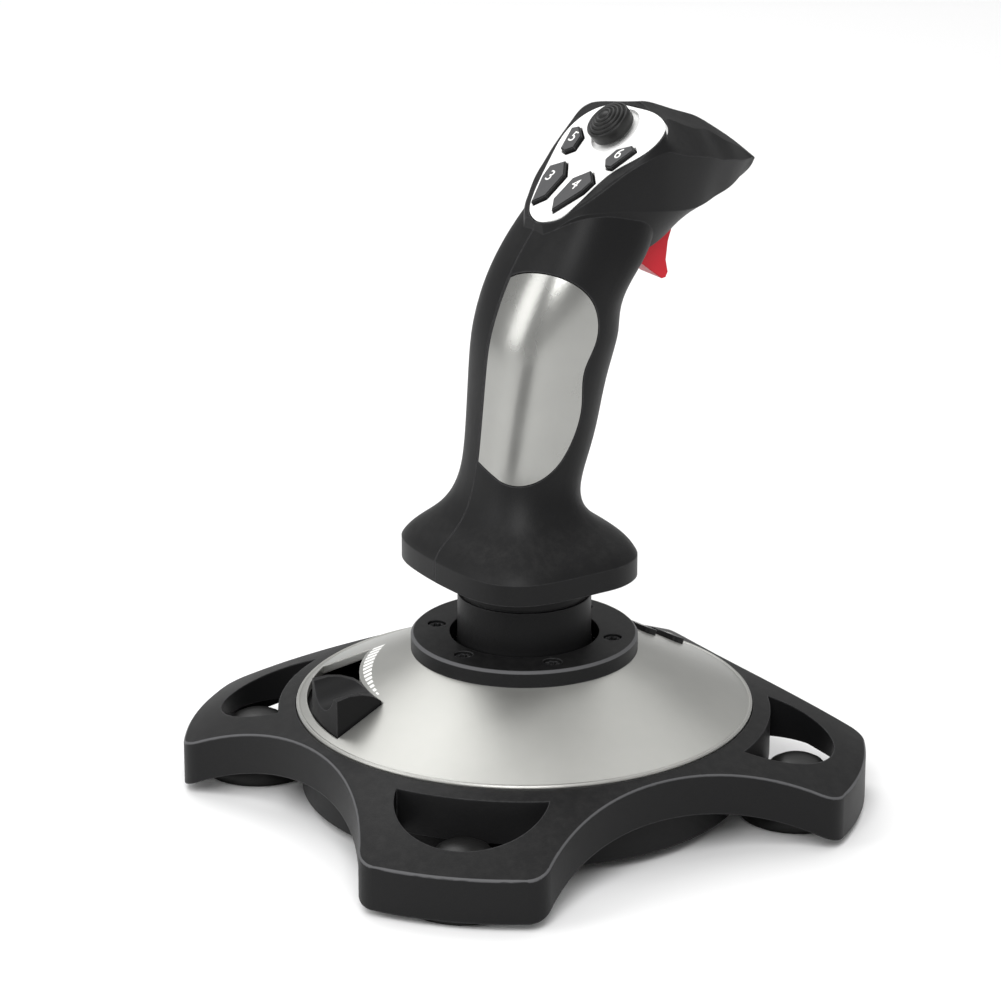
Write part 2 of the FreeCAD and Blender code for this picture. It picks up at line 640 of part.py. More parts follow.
def button_outlines():
    """Button number and outline, the left ones mirrored from the right ones."""
    return ((3, [(-x, s) for x, s in LOWER_BUTTON]), (4, LOWER_BUTTON),
            (5, [(-x, s) for x, s in UPPER_BUTTON]), (6, UPPER_BUTTON))


# the thumb plate's outline from its foot round by the right side, across and up the plate;
# it is fuller on the right
PLATE_OUTLINE = (
    (0, -21.8), (6.0, -20.9), (10.2, -17.0), (11.8, -11.0), (12.6, -4.0), (14.4, 2.6), (18.0, 8.0),
    (20.8, 13.0), (21.4, 18.0), (19.4, 22.4), (14.4, 25.0), (7.4, 26.0), (0, 25.6), (-7.4, 24.8),
    (-14.6, 21.8), (-18.8, 16.6), (-19.8, 9.4), (-17.0, 0.8), (-13.2, -7.6), (-9.2, -15.0),
    (-5.0, -19.8),
)


def plate_outline(shrink):
    """The teardrop outline of the thumb plate, moved inwards."""
    return grown(PLATE_OUTLINE, -shrink)


def plate_solid(shrink, low, high):
    curve = Part.BSplineCurve()
    curve.interpolate([plate_point(x, s, low) for x, s in plate_outline(shrink)], PeriodicFlag=True)
    return Part.Face(Part.Wire(curve.toShape())).extrude(plate_axis() * (high - low))


def make_thumb_plate():
    plate = plate_solid(0.3, -PLATE_THICK, 0)
    recess = rod(HAT_RECESS, plate_point(0, HAT_S, -HAT_RECESS_DEPTH), plate_point(0, HAT_S, 4))
    neck = rod(3.0, plate_point(0, HAT_S, -6), plate_point(0, HAT_S, 4))
    return plate.cut(button_holes()).cut(recess).cut(neck)


def button_holes():
    """The room that the four keys of the thumb plate need as they are pressed."""
    holes = [plate_prism(grown(outline, BUTTON_GAP), -5.2, 4) for number, outline in button_outlines()]
    return joined(holes)


def make_button(outline):
    body = plate_prism(outline, -3.4, BUTTON_RISE)
    rim = [edge for edge in body.Edges if top_edge(edge, BUTTON_RISE)]
    return body.makeChamfer(0.35, rim)


def top_edge(edge, height):
    """True for an edge that lies in the plane at a height above the plate."""
    out = plate_axis()
    return all(abs((vertex.Point - PLATE_POINT).dot(out) - height) < 0.01 for vertex in edge.Vertexes)


def panel_prism(shrink):
    """The outline of a side panel, pushed square to the flank that it lies on."""
    across = Vector(0.545, 0.838, 0)
    outward = Vector(0.838, -0.545, 0)
    outline = ((-14.4, 111.6), (-7.5, 107.6), (0, 106.8), (8.7, 110.6), (14.4, 119.0), (17.3, 130.0),
               (18.2, 141.8), (21.4, 149.8), (22.0, 156.8), (19.6, 164.0), (13.5, 169.4), (5.0, 171.2),
               (-2.5, 169.2), (-8.6, 163.6), (-11.6, 156.0), (-12.1, 145.3), (-12.9, 134.0), (-13.8, 122.0))
    points = [across * u + Vector(0, 0, z) for u, z in grown(outline, -shrink)]
    curve = Part.BSplineCurve()
    curve.interpolate(points[1:], PeriodicFlag=False)
    corner = points[0]
    edges = [curve.toShape(), Part.makeLine(points[-1], corner), Part.makeLine(corner, points[1])]
    solid = Part.Face(Part.Wire(edges)).extrude(outward * 60)
    return solid.common(box(0.8 + shrink, 60, -80, 80, 90, 200))


def trigger_profile():
    return ((46.0, 184.0), (54.2, 184.0), (54.4, 180.6), (50.2, 177.6), (48.3, 172.0), (47.6, 166.1),
            (48.4, 162.2), (47.6, 160.6), (46.2, 160.4), (41.7, 163.8), (37.9, 166.9), (38.6, 168.8),
            (38.6, 174.6), (42.8, 178.0))


def make_trigger():
    profile = [Vector(-TRIGGER_HALF, y, z) for y, z in trigger_profile()]
    body = prism(profile, Vector(2 * TRIGGER_HALF, 0, 0))
    hub = rod(3.6, TRIGGER_PIVOT - Vector(TRIGGER_HALF, 0, 0), TRIGGER_PIVOT + Vector(TRIGGER_HALF, 0, 0))
    bore = rod(1.5 + RUN, TRIGGER_PIVOT - Vector(20, 0, 0), TRIGGER_PIVOT + Vector(20, 0, 0))
    return joined([body, hub]).cut(bore)


def trigger_opening():
    half = TRIGGER_HALF + 0.5
    outline = ((34.4, 157.6), (56.6, 157.6), (56.6, 187.0), (34.4, 187.0))
    return prism([Vector(-half, y, z) for y, z in outline], Vector(2 * half, 0, 0))


def grip_width_at(z):
    """Half width of the grip at a height, read between its sections."""
    rows = GRIP_SECTIONS
    for low, high in zip(rows, rows[1:]):
        if low[0] <= z <= high[0]:
            part = (z - low[0]) / (high[0] - low[0])
            return low[3] + part * (high[3] - low[3])
    return 18.0


def make_half_shell():
    """The right half of the grip's shell, without what differs from left to right."""
    shell = grip_body(0).cut(grip_body(SHELL))
    floor_hole = cylinder(NECK_RADIUS - 0.8, SKIRT_Z - 2, SKIRT_Z + 3)
    half = shell.common(box(SEAM / 2, 80, -80, 100, 60, 240))
    half = half.cut(joined([floor_hole, trigger_opening(), trigger_switch_block(0.4)]))
    bosses = [rod(3.4, Vector(0.05, y, z), Vector(grip_width_at(z) - 1.6, y, z)) for y, z in GRIP_SCREWS]
    ear_start = Vector(TRIGGER_HALF + 0.5, TRIGGER_PIVOT.y, TRIGGER_PIVOT.z)
    bosses.append(rod(3.4, ear_start, ear_start + Vector(7.0, 0, 0)))
    for boss in bosses:
        half = half.fuse(boss.common(grip_body(0.4)))
    return half


def make_shells():
    """The left and right halves of the grip, split on the middle plane."""
    half_pin = Vector(TRIGGER_PIN_HALF + 0.2, 0, 0)
    pin = rod(1.5, TRIGGER_PIVOT - half_pin, TRIGGER_PIVOT + half_pin)
    deck = plate_solid(0, -PLATE_THICK - 0.2, 30)
    well = joined([plate_solid(1.4, -5.2, 0), plate_solid(3.0, -9.0, 0), button_holes()])
    right = make_half_shell()
    left = mirrored(right).cut(deck).cut(well).cut(pin)
    right = right.cut(panel_skin(PANEL_THICK + 0.2, 0)).cut(deck).cut(well).cut(pin)
    for y, z in GRIP_SCREWS:
        right = right.cut(rod(1.6, Vector(-1, y, z), Vector(9.0, y, z)))
        left = left.cut(rod(1.6, Vector(GRIP_SCREW_HEAD_X, y, z), Vector(1, y, z)))
        left = left.cut(rod(3.1, Vector(-60, y, z), Vector(GRIP_SCREW_HEAD_X, y, z)))
    key = rod(SIDE_BUTTON_RADIUS + 0.3, SIDE_BUTTON - Vector(40, 0, 0), SIDE_BUTTON - Vector(9, 0, 0))
    return left.cut(key), right


def panel_skin(thick, shrink):
    """The outer layer of the grip's right flank inside the outline of a side panel."""
    return grip_body(0).common(panel_prism(shrink)).cut(grip_body(thick))


def make_grip_screws():
    screws = []
    for y, z in GRIP_SCREWS:
        head = rod(2.9, Vector(GRIP_SCREW_HEAD_X - 1.8, y, z), Vector(GRIP_SCREW_HEAD_X, y, z))
        shank = rod(1.55, Vector(GRIP_SCREW_HEAD_X, y, z), Vector(8.5, y, z))
        slot = box(-15.2, -14.2, y - 2.0, y + 2.0, z - 0.35, z + 0.35)
        screws.append(joined([head, shank]).cut(slot))
    return Part.makeCompound(screws)


def make_side_button():
    """Button 2, a round key on the left flank of the head."""
    inner_end = SIDE_BUTTON - Vector(17.0, 0, 0)
    button = rod(SIDE_BUTTON_RADIUS, SIDE_BUTTON - Vector(40, 0, 0), inner_end)
    raised = grip_body(0)
    raised.translate(Vector(-1.2, 0, 0))
    return button.common(raised)


def make_grip_board():
    """The board under the thumb plate, with a switch below each button."""
    board = plate_solid(6.5, -8.6, -7.2)
    switches = []
    for number, outline in button_outlines():
        x = sum(point[0] for point in outline) / len(outline)
        s = sum(point[1] for point in outline) / len(outline)
        base = plate_point(x, s, -7.2)
        switches.append(Part.makeCylinder(1.8, 2.4, base, plate_axis()))
    return joined([board] + switches)


def plate_block(half_x, s0, s1, low, high):
    outline = ((-half_x, s0), (half_x, s0), (half_x, s1), (-half_x, s1))
    return plate_prism(outline, low, high)


def make_hat_switch():
    return plate_block(5.0, HAT_S - 5.0, HAT_S + 3.0, -7.1, -5.4)


def make_hat_stem():
    """The ball that the hat's cap tilts on."""
    return Part.makeSphere(HAT_BALL, plate_point(0, HAT_S, HAT_PIVOT))


def make_hat_cap():
    """A rubber cap with an upright wall, stepped rings on top and a short core."""
    rings = 5
    width = (HAT_RADIUS - 1.5) / rings
    outline = [(0, -1.6), (1.8, -1.6), (1.8, 0.6), (HAT_RADIUS - 0.3, 0.6), (HAT_RADIUS, 0.9)]
    top = 4.2
    for ring in range(rings):
        outer = HAT_RADIUS - ring * width
        top += 0.75 - 0.08 * ring
        outline += [(outer, top - 0.3), (outer - 0.3, top), (outer - width, top)]
    outline += [(0, top + 0.2)]
    cap = turned_profile(outline)
    cap.Placement = Placement(plate_point(0, HAT_S), Rotation(Vector(0, 0, 1), plate_axis()))
    return cap


def trigger_switch_block(grow):
    """The trigger's switch, grown on every side for the pocket it sits in."""
    return box(-4.6 - grow, 4.6 + grow, 28.6 - grow, 33.2 + 4 * grow, 168.4 - grow, 176.0 + grow)


def make_trigger_switch():
    return trigger_switch_block(0.0)


def make_trigger_spring():
    """The return spring between the trigger and its switch."""
    start, end = TRIGGER_SPRING
    coil = make_coil(2.0, 0.35, 0, end - start, 4)
    coil.Placement = Placement(Vector(0, start, 171.6), Rotation(Vector(0, 0, 1), Vector(0, 1, 0)))
    return coil


# ---------------------------------------------------------------- the whole joystick
def build():
    nodes = {}
    nodes["base_frame"] = make_base_frame()
    nodes["bottom_pan"] = make_bottom_pan()
    nodes["bottom_screws"] = make_bottom_screws()
    for index, angle in enumerate(LEG_ANGLES, 1):
        nodes["suction_cup_%d" % index] = make_suction_cup(angle)
    nodes["cable_inlet"] = make_cable_inlet()
    nodes["dome_cover"] = make_dome_cover()
    nodes["collar"] = make_collar()
    nodes["collar_screws"] = make_collar_screws()
    nodes["gimbal_tower"] = make_gimbal_tower()
    nodes["tower_screws"] = make_tower_screws()
    nodes["main_board"] = make_main_board()
    nodes["button_board"] = make_button_board()
    nodes["throttle_track"] = make_throttle_track()
    nodes["throttle_sensor"] = make_throttle_sensor()
    nodes["throttle_arm"] = make_throttle_arm()
    nodes["throttle_knob"] = make_throttle_knob()
    for number, row, compass in base_buttons():
        nodes["base_button_%d" % number] = base_button_shape(row, compass, 0, 4.6, BASE_BUTTON_RISE)
    nodes["gimbal_cross"] = make_gimbal_cross()
    nodes["roll_pins"] = make_pins(Vector(0, 1, 0))
    nodes["pitch_pins"] = make_pins(Vector(1, 0, 0))
    nodes["centring_spring"] = make_coil(14.4, 0.9, 43.2, 60.8, 4)
    nodes["neck_sleeve"] = make_neck_sleeve()
    nodes["stick_hub"] = make_stick_hub()
    nodes["stick_shaft"] = make_stick_shaft()
    nodes["grip_shell_left"], nodes["grip_shell_right"] = make_shells()
    nodes["side_panel_right"] = panel_skin(PANEL_THICK, 0.3)
    nodes["thumb_plate"] = make_thumb_plate()
    nodes["grip_screws"] = make_grip_screws()
    nodes["grip_board"] = make_grip_board()
    nodes["side_button_2"] = make_side_button()
    for number, outline in button_outlines():
        nodes["button_%d" % number] = make_button(outline)
    nodes["hat_switch"] = make_hat_switch()
    nodes["hat_stem"] = make_hat_stem()
    nodes["hat_cap"] = make_hat_cap()
    nodes["trigger"] = make_trigger()
    half_pin = Vector(TRIGGER_PIN_HALF, 0, 0)
    nodes["trigger_pin"] = rod(1.5, TRIGGER_PIVOT - half_pin, TRIGGER_PIVOT + half_pin)
    nodes["trigger_switch"] = make_trigger_switch()
    nodes["trigger_spring"] = make_trigger_spring()
    return nodes


for name, shape in build().items():
    shape.exportStep("parts/%s.step" % name)
    print(name, len(shape.Solids), shape.isValid(), round(shape.Volume))
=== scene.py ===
"""Finishes and fine detail of the flight joystick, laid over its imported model.

Metres. +Y is forwards (the nose of the grip), +X is the user's right, +Z is up.
"""
import math

import bmesh
import bpy
from mathutils import Matrix, Vector


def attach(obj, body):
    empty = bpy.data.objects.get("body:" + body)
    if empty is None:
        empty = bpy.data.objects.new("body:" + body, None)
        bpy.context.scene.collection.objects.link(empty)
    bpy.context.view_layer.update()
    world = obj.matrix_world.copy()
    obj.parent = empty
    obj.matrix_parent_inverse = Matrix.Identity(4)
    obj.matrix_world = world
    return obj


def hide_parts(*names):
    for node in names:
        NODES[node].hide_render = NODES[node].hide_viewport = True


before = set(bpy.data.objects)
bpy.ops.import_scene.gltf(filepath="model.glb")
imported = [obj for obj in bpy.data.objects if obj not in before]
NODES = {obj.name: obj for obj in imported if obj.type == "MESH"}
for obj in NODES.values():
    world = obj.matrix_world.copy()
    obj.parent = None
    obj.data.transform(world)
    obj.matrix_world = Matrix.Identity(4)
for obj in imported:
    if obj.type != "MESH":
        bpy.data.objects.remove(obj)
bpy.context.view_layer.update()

bl_info = {
    "name": "Flight joystick",
    "version": (1, 0, 0),
    "blender": (4, 5, 0),
    "location": "3D View > Sidebar > Joystick",
    "description": "Builds the finishes and fine detail of a desk flight joystick",
    "category": "Object",
}

MM = 0.001


# ---------------------------------------------------------------- sizes and colours
class JoystickFinishes(bpy.types.PropertyGroup):
    """Colours of the joystick's materials."""
    body: bpy.props.FloatVectorProperty(
        name="Body", description="Moulded plastic of the base and the grip", subtype="COLOR",
        size=3, min=0, max=1, default=(0.008, 0.008, 0.0083))
    metal: bpy.props.FloatVectorProperty(
        name="Metal", description="Silver lacquer of the dome", subtype="COLOR",
        size=3, min=0, max=1, default=(0.43, 0.43, 0.408))
    panel: bpy.props.FloatVectorProperty(
        name="Panel", description="Satin lacquer of the grip's side panel", subtype="COLOR",
        size=3, min=0, max=1, default=(0.34, 0.34, 0.325))
    plate: bpy.props.FloatVectorProperty(
        name="Thumb plate", description="Gloss plastic under the thumb buttons", subtype="COLOR",
        size=3, min=0, max=1, default=(0.86, 0.86, 0.85))
    buttons: bpy.props.FloatVectorProperty(
        name="Buttons", description="Plastic of the numbered buttons", subtype="COLOR",
        size=3, min=0, max=1, default=(0.066, 0.066, 0.068))
    prints: bpy.props.FloatVectorProperty(
        name="Prints", description="White ink of the numbers and of the throttle's scale", subtype="COLOR",
        size=3, min=0, max=1, default=(0.86, 0.86, 0.84))
    trigger: bpy.props.FloatVectorProperty(
        name="Trigger", description="Plastic of the trigger", subtype="COLOR",
        size=3, min=0, max=1, default=(0.56, 0.018, 0.030))


class JoystickSizes(bpy.types.PropertyGroup):
    """Sizes of the fine detail."""
    digit_height: bpy.props.FloatProperty(
        name="Digit height", description="Height of the number on a thumb key", subtype="DISTANCE",
        unit="LENGTH", min=0.001, max=0.01, default=3.9 * MM)
    ink: bpy.props.FloatProperty(
        name="Ink", description="Thickness of the printed numbers and marks", subtype="DISTANCE",
        unit="LENGTH", min=0.00001, max=0.0005, default=0.05 * MM)
    marks: bpy.props.IntProperty(
        name="Scale marks", description="Number of marks of the throttle's scale", min=3, max=40, default=14)
    longest_mark: bpy.props.FloatProperty(
        name="Longest mark", description="Length of the mark at the scale's open end", subtype="DISTANCE",
        unit="LENGTH", min=0.001, max=0.01, default=4.2 * MM)
    shortest_mark: bpy.props.FloatProperty(
        name="Shortest mark", description="Length of the mark next to the knob", subtype="DISTANCE",
        unit="LENGTH", min=0.0002, max=0.005, default=0.6 * MM)
    star_depth: bpy.props.FloatProperty(
        name="Star depth", description="Depth of the star recess of a collar screw", subtype="DISTANCE",
        unit="LENGTH", min=0.0001, max=0.002, default=1.2 * MM)
    cap_rings: bpy.props.IntProperty(
        name="Cap rings", description="Steps on top of the hat switch's cap", min=2, max=9, default=5)
    turned_steps: bpy.props.IntProperty(
        name="Turned steps", description="Steps round a turned piece", min=24, max=256, default=96)


# The thumb plate's face, the dome's cone and the collar on top of it
PLATE_PITCH = math.radians(38.96)
PLATE_POINT = Vector((0.0, 20.0, 197.75)) * MM
PLATE_UP = Vector((0.0, math.cos(PLATE_PITCH), math.sin(PLATE_PITCH)))
PLATE_OUT = Vector((0.0, -math.sin(PLATE_PITCH), math.cos(PLATE_PITCH)))
RIM_RADIUS, RIM_HEIGHT = 70.7 * MM, 30.3 * MM
COLLAR_RADIUS, COLLAR_FOOT, COLLAR_TOP = 35.2 * MM, 47.8 * MM, 53.0 * MM
DOME_SLOPE = math.atan2(COLLAR_FOOT - RIM_HEIGHT, RIM_RADIUS - COLLAR_RADIUS)
KEY_RISE = 1.5 * MM
BASE_KEY_RISE = 1.6 * MM
# The collar's screws and the suction cups: their circles, the first of each, and how deep a screw sits
SCREW_CIRCLE, SCREW_SINK = 27.8 * MM, 0.6 * MM
CUP_CIRCLE = 86.0 * MM
FIRST_CORNER = math.radians(45)
# The hat's place up the plate in millimetres, and the side key's place on the left flank
HAT_UP = 15.8
SIDE_KEY_FORWARD, SIDE_KEY_HEIGHT = 30 * MM, 193 * MM
# The throttle's scale: its two ends, its outer circle and the width of a mark
SCALE_START, SCALE_END = math.radians(-129), math.radians(-173)
SCALE_CIRCLE, MARK_WIDTH = 50.2 * MM, 1.75 * MM
# A base key's digits against a thumb key's, a font's size against its digits, and the lift of a print
BASE_DIGIT_SHARE = 0.85
FONT_SIZE_PER_HEIGHT = 1.42
INK_LIFT = 0.3
# Over one, because the tops of the base keys lean outwards with the dome
BASE_KEY_LOOK = (0.0, 0.0, 1.04)
# Points closer than these are one point
TURNED_WELD, PIECE_WELD = 0.002 * MM, 0.001 * MM


def polar(radius, compass, height=0.0):
    """A point by its distance from the axis and its clockwise angle from the front, in degrees."""
    turn = math.radians(compass)
    return Vector((radius * math.sin(turn), radius * math.cos(turn), height))


def dome_height(radius):
    """Height of the dome's cone at a distance from the axis."""
    return RIM_HEIGHT + (RIM_RADIUS - radius) * math.tan(DOME_SLOPE)


# ---------------------------------------------------------------- node helpers
def new_group(name, sockets):
    """An empty shader node group with (in or out, socket type, name, default) sockets."""
    group = bpy.data.node_groups.new(name, "ShaderNodeTree")
    for way, kind, label, default in sockets:
        socket = group.interface.new_socket(label, in_out=way, socket_type="NodeSocket" + kind)
        if default is not None:
            socket.default_value = default
    return group


def add(tree, kind, links=(), **settings):
    """A node with its settings, and its inputs either linked or given a value."""
    node = tree.nodes.new(kind)
    for key, value in settings.items():
        setattr(node, key, value)
    for key, value in links:
        if isinstance(value, bpy.types.NodeSocket):
            tree.links.new(value, node.inputs[key])
        else:
            node.inputs[key].default_value = value
    return node


def ramp(tree, source, low, high, to_low, to_high):
    """The source's stretch from low to high, mapped on another stretch and held there."""
    node = add(tree, "ShaderNodeMapRange", (("Value", source), ("From Min", low), ("From Max", high),
                                            ("To Min", to_low), ("To Max", to_high)))
    return node.outputs["Result"]


# ---------------------------------------------------------------- shared effects
def moulded_grain_group():
    """Fine spark-eroded grain with a slow change of gloss over it."""
    group = new_group("Moulded grain", (
        ("INPUT", "Vector", "Place", None), ("INPUT", "Float", "Grain", 2600.0),
        ("INPUT", "Float", "Cloud", 45.0), ("OUTPUT", "Float", "Height", None),
        ("OUTPUT", "Float", "Mottle", None)))
    inside = group.nodes.new("NodeGroupInput")
    outside = group.nodes.new("NodeGroupOutput")
    place = inside.outputs["Place"]
    fine = add(group, "ShaderNodeTexNoise", (("Vector", place), ("Scale", inside.outputs["Grain"]),
                                             ("Detail", 2.0), ("Roughness", 0.55)))
    slow = add(group, "ShaderNodeTexNoise", (("Vector", place), ("Scale", inside.outputs["Cloud"]),
                                             ("Detail", 3.0), ("Roughness", 0.6)))
    group.links.new(ramp(group, fine.outputs["Fac"], 0.3, 0.7, 0.0, 1.0), outside.inputs["Height"])
    group.links.new(ramp(group, slow.outputs["Fac"], 0.15, 0.85, 0.0, 1.0), outside.inputs["Mottle"])
    return group


def edge_wear_group():
    """A mask of the outer edges, broken up by noise, which makes them lighter as wear and as a painted
    highlight, and the normal of the rounded edge.
    """
    group = new_group("Edge wear", (("INPUT", "Vector", "Place", None), ("INPUT", "Float", "Radius", 0.0004),
                                    ("OUTPUT", "Float", "Mask", None), ("OUTPUT", "Vector", "Normal", None)))
    inside = group.nodes.new("NodeGroupInput")
    outside = group.nodes.new("NodeGroupOutput")
    rounded = add(group, "ShaderNodeBevel", (("Radius", inside.outputs["Radius"]),), samples=4)
    facing = group.nodes.new("ShaderNodeNewGeometry")
    turn = add(group, "ShaderNodeVectorMath", operation="DOT_PRODUCT")
    group.links.new(rounded.outputs["Normal"], turn.inputs[0])
    group.links.new(facing.outputs["Normal"], turn.inputs[1])
    # The edge mask paints a highlight along the rounded edges, as well as standing for wear
    edge = ramp(group, turn.outputs["Value"], 0.995, 0.80, 0.0, 1.0)
    patchy = add(group, "ShaderNodeTexNoise", (("Vector", inside.outputs["Place"]), ("Scale", 700.0),
                                               ("Detail", 4.0)))
    breaks = ramp(group, patchy.outputs["Fac"], 0.30, 0.62, 0.55, 1.0)
    mask = add(group, "ShaderNodeMath", ((0, edge), (1, breaks)), operation="MULTIPLY")
    group.links.new(mask.outputs["Value"], outside.inputs["Mask"])
    group.links.new(rounded.outputs["Normal"], outside.inputs["Normal"])
    return group


def dust_group():
    """Faint dust that settles on faces that look up."""
    group = new_group("Dust", (("INPUT", "Vector", "Place", None), ("INPUT", "Float", "Amount", 0.1),
                               ("OUTPUT", "Float", "Mask", None)))
    inside = group.nodes.new("NodeGroupInput")
    outside = group.nodes.new("NodeGroupOutput")
    facing = group.nodes.new("ShaderNodeNewGeometry")
    split = add(group, "ShaderNodeSeparateXYZ", (("Vector", facing.outputs["Normal"]),))
    upward = ramp(group, split.outputs["Z"], 0.4, 1.0, 0.0, 1.0)
    specks = add(group, "ShaderNodeTexNoise", (("Vector", inside.outputs["Place"]), ("Scale", 320.0),
                                               ("Detail", 6.0), ("Roughness", 0.7)))
    film = ramp(group, specks.outputs["Fac"], 0.42, 0.75, 0.0, 1.0)
    both = add(group, "ShaderNodeMath", ((0, upward), (1, film)), operation="MULTIPLY")
    scaled = add(group, "ShaderNodeMath", ((0, both.outputs["Value"]), (1, inside.outputs["Amount"])),
                 operation="MULTIPLY")
    group.links.new(scaled.outputs["Value"], outside.inputs["Mask"])
    return group


# ---------------------------------------------------------------- materials
def group_node(tree, name, links):
    """A shared effect, placed in a material."""
    return add(tree, "ShaderNodeGroup", links, node_tree=bpy.data.node_groups[name])


def scaled_colour(colour, share):
    """The colour made lighter or darker by a share, and opaque."""
    return tuple(min(1.0, channel * share) for channel in colour) + (1.0,)


def surface(name, colour, gloss, metallic=0.0, grain=(2600.0, 0.00002), edge=(0.0004, 2.0), dust=0.0,
            specular=0.5, top=None, rim=0.0):
    """A moulded or painted finish: grain, slow mottling, edges lighter from wear and a painted highlight,
    dust and a painted top.

    gloss is the least and the greatest roughness, grain its scale and height, edge its radius and
    how much lighter it is, partly as wear and partly as a painted highlight, top the direction that a
    painted face looks in and its colour, and rim how much lighter a painted highlight makes the rounded upper
    edges.
    """
    material = bpy.data.materials.new(name)
    material.use_nodes = True
    tree = material.node_tree
    shader = tree.nodes["Principled BSDF"]
    shader.inputs["Metallic"].default_value = metallic
    shader.inputs["Specular IOR Level"].default_value = specular
    place = tree.nodes.new("ShaderNodeTexCoord").outputs["Object"]
    texture = group_node(tree, "Moulded grain", (("Place", place), ("Grain", grain[0])))
    wear_and_highlight = group_node(tree, "Edge wear", (("Place", place), ("Radius", edge[0])))
    mottled = add(tree, "ShaderNodeMix", data_type="RGBA")
    tree.links.new(texture.outputs["Mottle"], mottled.inputs["Factor"])
    mottled.inputs["A"].default_value = scaled_colour(colour, 0.93)
    mottled.inputs["B"].default_value = scaled_colour(colour, 1.07)
    painted = mottled
    if top:
        direction, paint = top
        looks = add(tree, "ShaderNodeVectorMath", ((1, direction),), operation="DOT_PRODUCT")
        tree.links.new(tree.nodes["Texture Coordinate"].outputs["Normal"], looks.inputs[0])
        painted = add(tree, "ShaderNodeMix", data_type="RGBA")
        tree.links.new(ramp(tree, looks.outputs["Value"], 0.90, 0.97, 0.0, 1.0), painted.inputs["Factor"])
        tree.links.new(mottled.outputs["Result"], painted.inputs["A"])
        painted.inputs["B"].default_value = scaled_colour(paint, 1.0)
    # Edges made lighter by the mask: partly wear, partly a painted highlight on their rounding
    wear_and_highlight_mix = add(tree, "ShaderNodeMix", data_type="RGBA")
    tree.links.new(wear_and_highlight.outputs["Mask"], wear_and_highlight_mix.inputs["Factor"])
    tree.links.new(painted.outputs["Result"], wear_and_highlight_mix.inputs["A"])
    wear_and_highlight_mix.inputs["B"].default_value = scaled_colour(colour, edge[1])
    last = wear_and_highlight_mix
    # A painted highlight: faces that lean partly upwards, the rounded upper edges, are made lighter as if
    # they caught the light from above
    if rim:
        height = add(tree, "ShaderNodeSeparateXYZ")
        tree.links.new(tree.nodes["Texture Coordinate"].outputs["Normal"], height.inputs["Vector"])
        above = ramp(tree, height.outputs["Z"], 0.20, 0.45, 0.0, 1.0)
        below = ramp(tree, height.outputs["Z"], 0.86, 0.78, 0.0, 1.0)
        painted_highlight_band = add(tree, "ShaderNodeMath", ((0, above), (1, below)), operation="MULTIPLY")
        last = add(tree, "ShaderNodeMix", data_type="RGBA")
        tree.links.new(painted_highlight_band.outputs["Value"], last.inputs["Factor"])
        tree.links.new(wear_and_highlight_mix.outputs["Result"], last.inputs["A"])
        last.inputs["B"].default_value = scaled_colour(colour, rim)
    if dust:
        clean = last
        film = group_node(tree, "Dust", (("Place", place), ("Amount", dust)))
        last = add(tree, "ShaderNodeMix", data_type="RGBA")
        tree.links.new(film.outputs["Mask"], last.inputs["Factor"])
        tree.links.new(clean.outputs["Result"], last.inputs["A"])
        last.inputs["B"].default_value = (0.42, 0.41, 0.39, 1.0)
    tree.links.new(last.outputs["Result"], shader.inputs["Base Color"])
    roughness = ramp(tree, texture.outputs["Mottle"], 0, 1, gloss[0], gloss[1])
    tree.links.new(roughness, shader.inputs["Roughness"])
    bump = add(tree, "ShaderNodeBump", (("Height", texture.outputs["Height"]), ("Distance", grain[1]),
                                        ("Strength", 1.0), ("Normal", wear_and_highlight.outputs["Normal"])))
    tree.links.new(bump.outputs["Normal"], shader.inputs["Normal"])
    return material


def make_materials(finishes):
    """Every finish by its slot in the record, and frame_black, which the frame and the collar share."""
    body = tuple(finishes.body)
    metal = tuple(finishes.metal)
    return {
        # The edge shares of eight on the black plastics paint a highlight on their rounded edges, as well as
        # wear
        "black_plastic": surface("Satin black plastic", body, (0.42, 0.52), dust=0.03, edge=(0.0006, 8.0),
                                 specular=0.15),
        # The frame's rim share of eleven paints a highlight on its rounded upper edges
        "frame_black": surface("Frame plastic", body, (0.42, 0.52), dust=0.02, edge=(0.0006, 8.0),
                               specular=0.15, rim=11.0),
        "knob_black": surface("Knob plastic", body, (0.42, 0.52), edge=(0.0004, 8.0), specular=0.15),
        "silver_dome": surface("Dome lacquer", metal, (0.34, 0.40), metallic=0.82, grain=(3800.0, 0.000006),
                               edge=(0.0006, 1.5)),
        "satin_panel": surface("Panel lacquer", tuple(finishes.panel), (0.25, 0.31), metallic=0.9,
                               grain=(3800.0, 0.000005), edge=(0.0, 1.0)),
        "white_plate": surface("Plate gloss", tuple(finishes.plate), (0.22, 0.28), grain=(1500.0, 0.000002),
                               edge=(0.0003, 1.0)),
        "red_trigger": surface("Trigger plastic", tuple(finishes.trigger), (0.36, 0.44), edge=(0.0005, 1.25),
                               specular=0.2),
        "soft_rubber": surface("Soft rubber", (0.008, 0.008, 0.0078), (0.30, 0.40),
                               grain=(1900.0, 0.00001), edge=(0.0003, 4.0), specular=0.3),
        "steel": surface("Plated steel", (0.52, 0.52, 0.53), (0.24, 0.34), metallic=1.0, edge=(0.0003, 1.3)),
        "nylon": surface("Black nylon", (0.030, 0.030, 0.031), (0.40, 0.50), edge=(0.0004, 2.0)),
        "circuit_board": surface("Solder mask", (0.02, 0.14, 0.05), (0.30, 0.42), edge=(0.0003, 1.6)),
        "switch_black": surface("Switch body", (0.02, 0.02, 0.02), (0.42, 0.52), edge=(0.0003, 2.5)),
    }


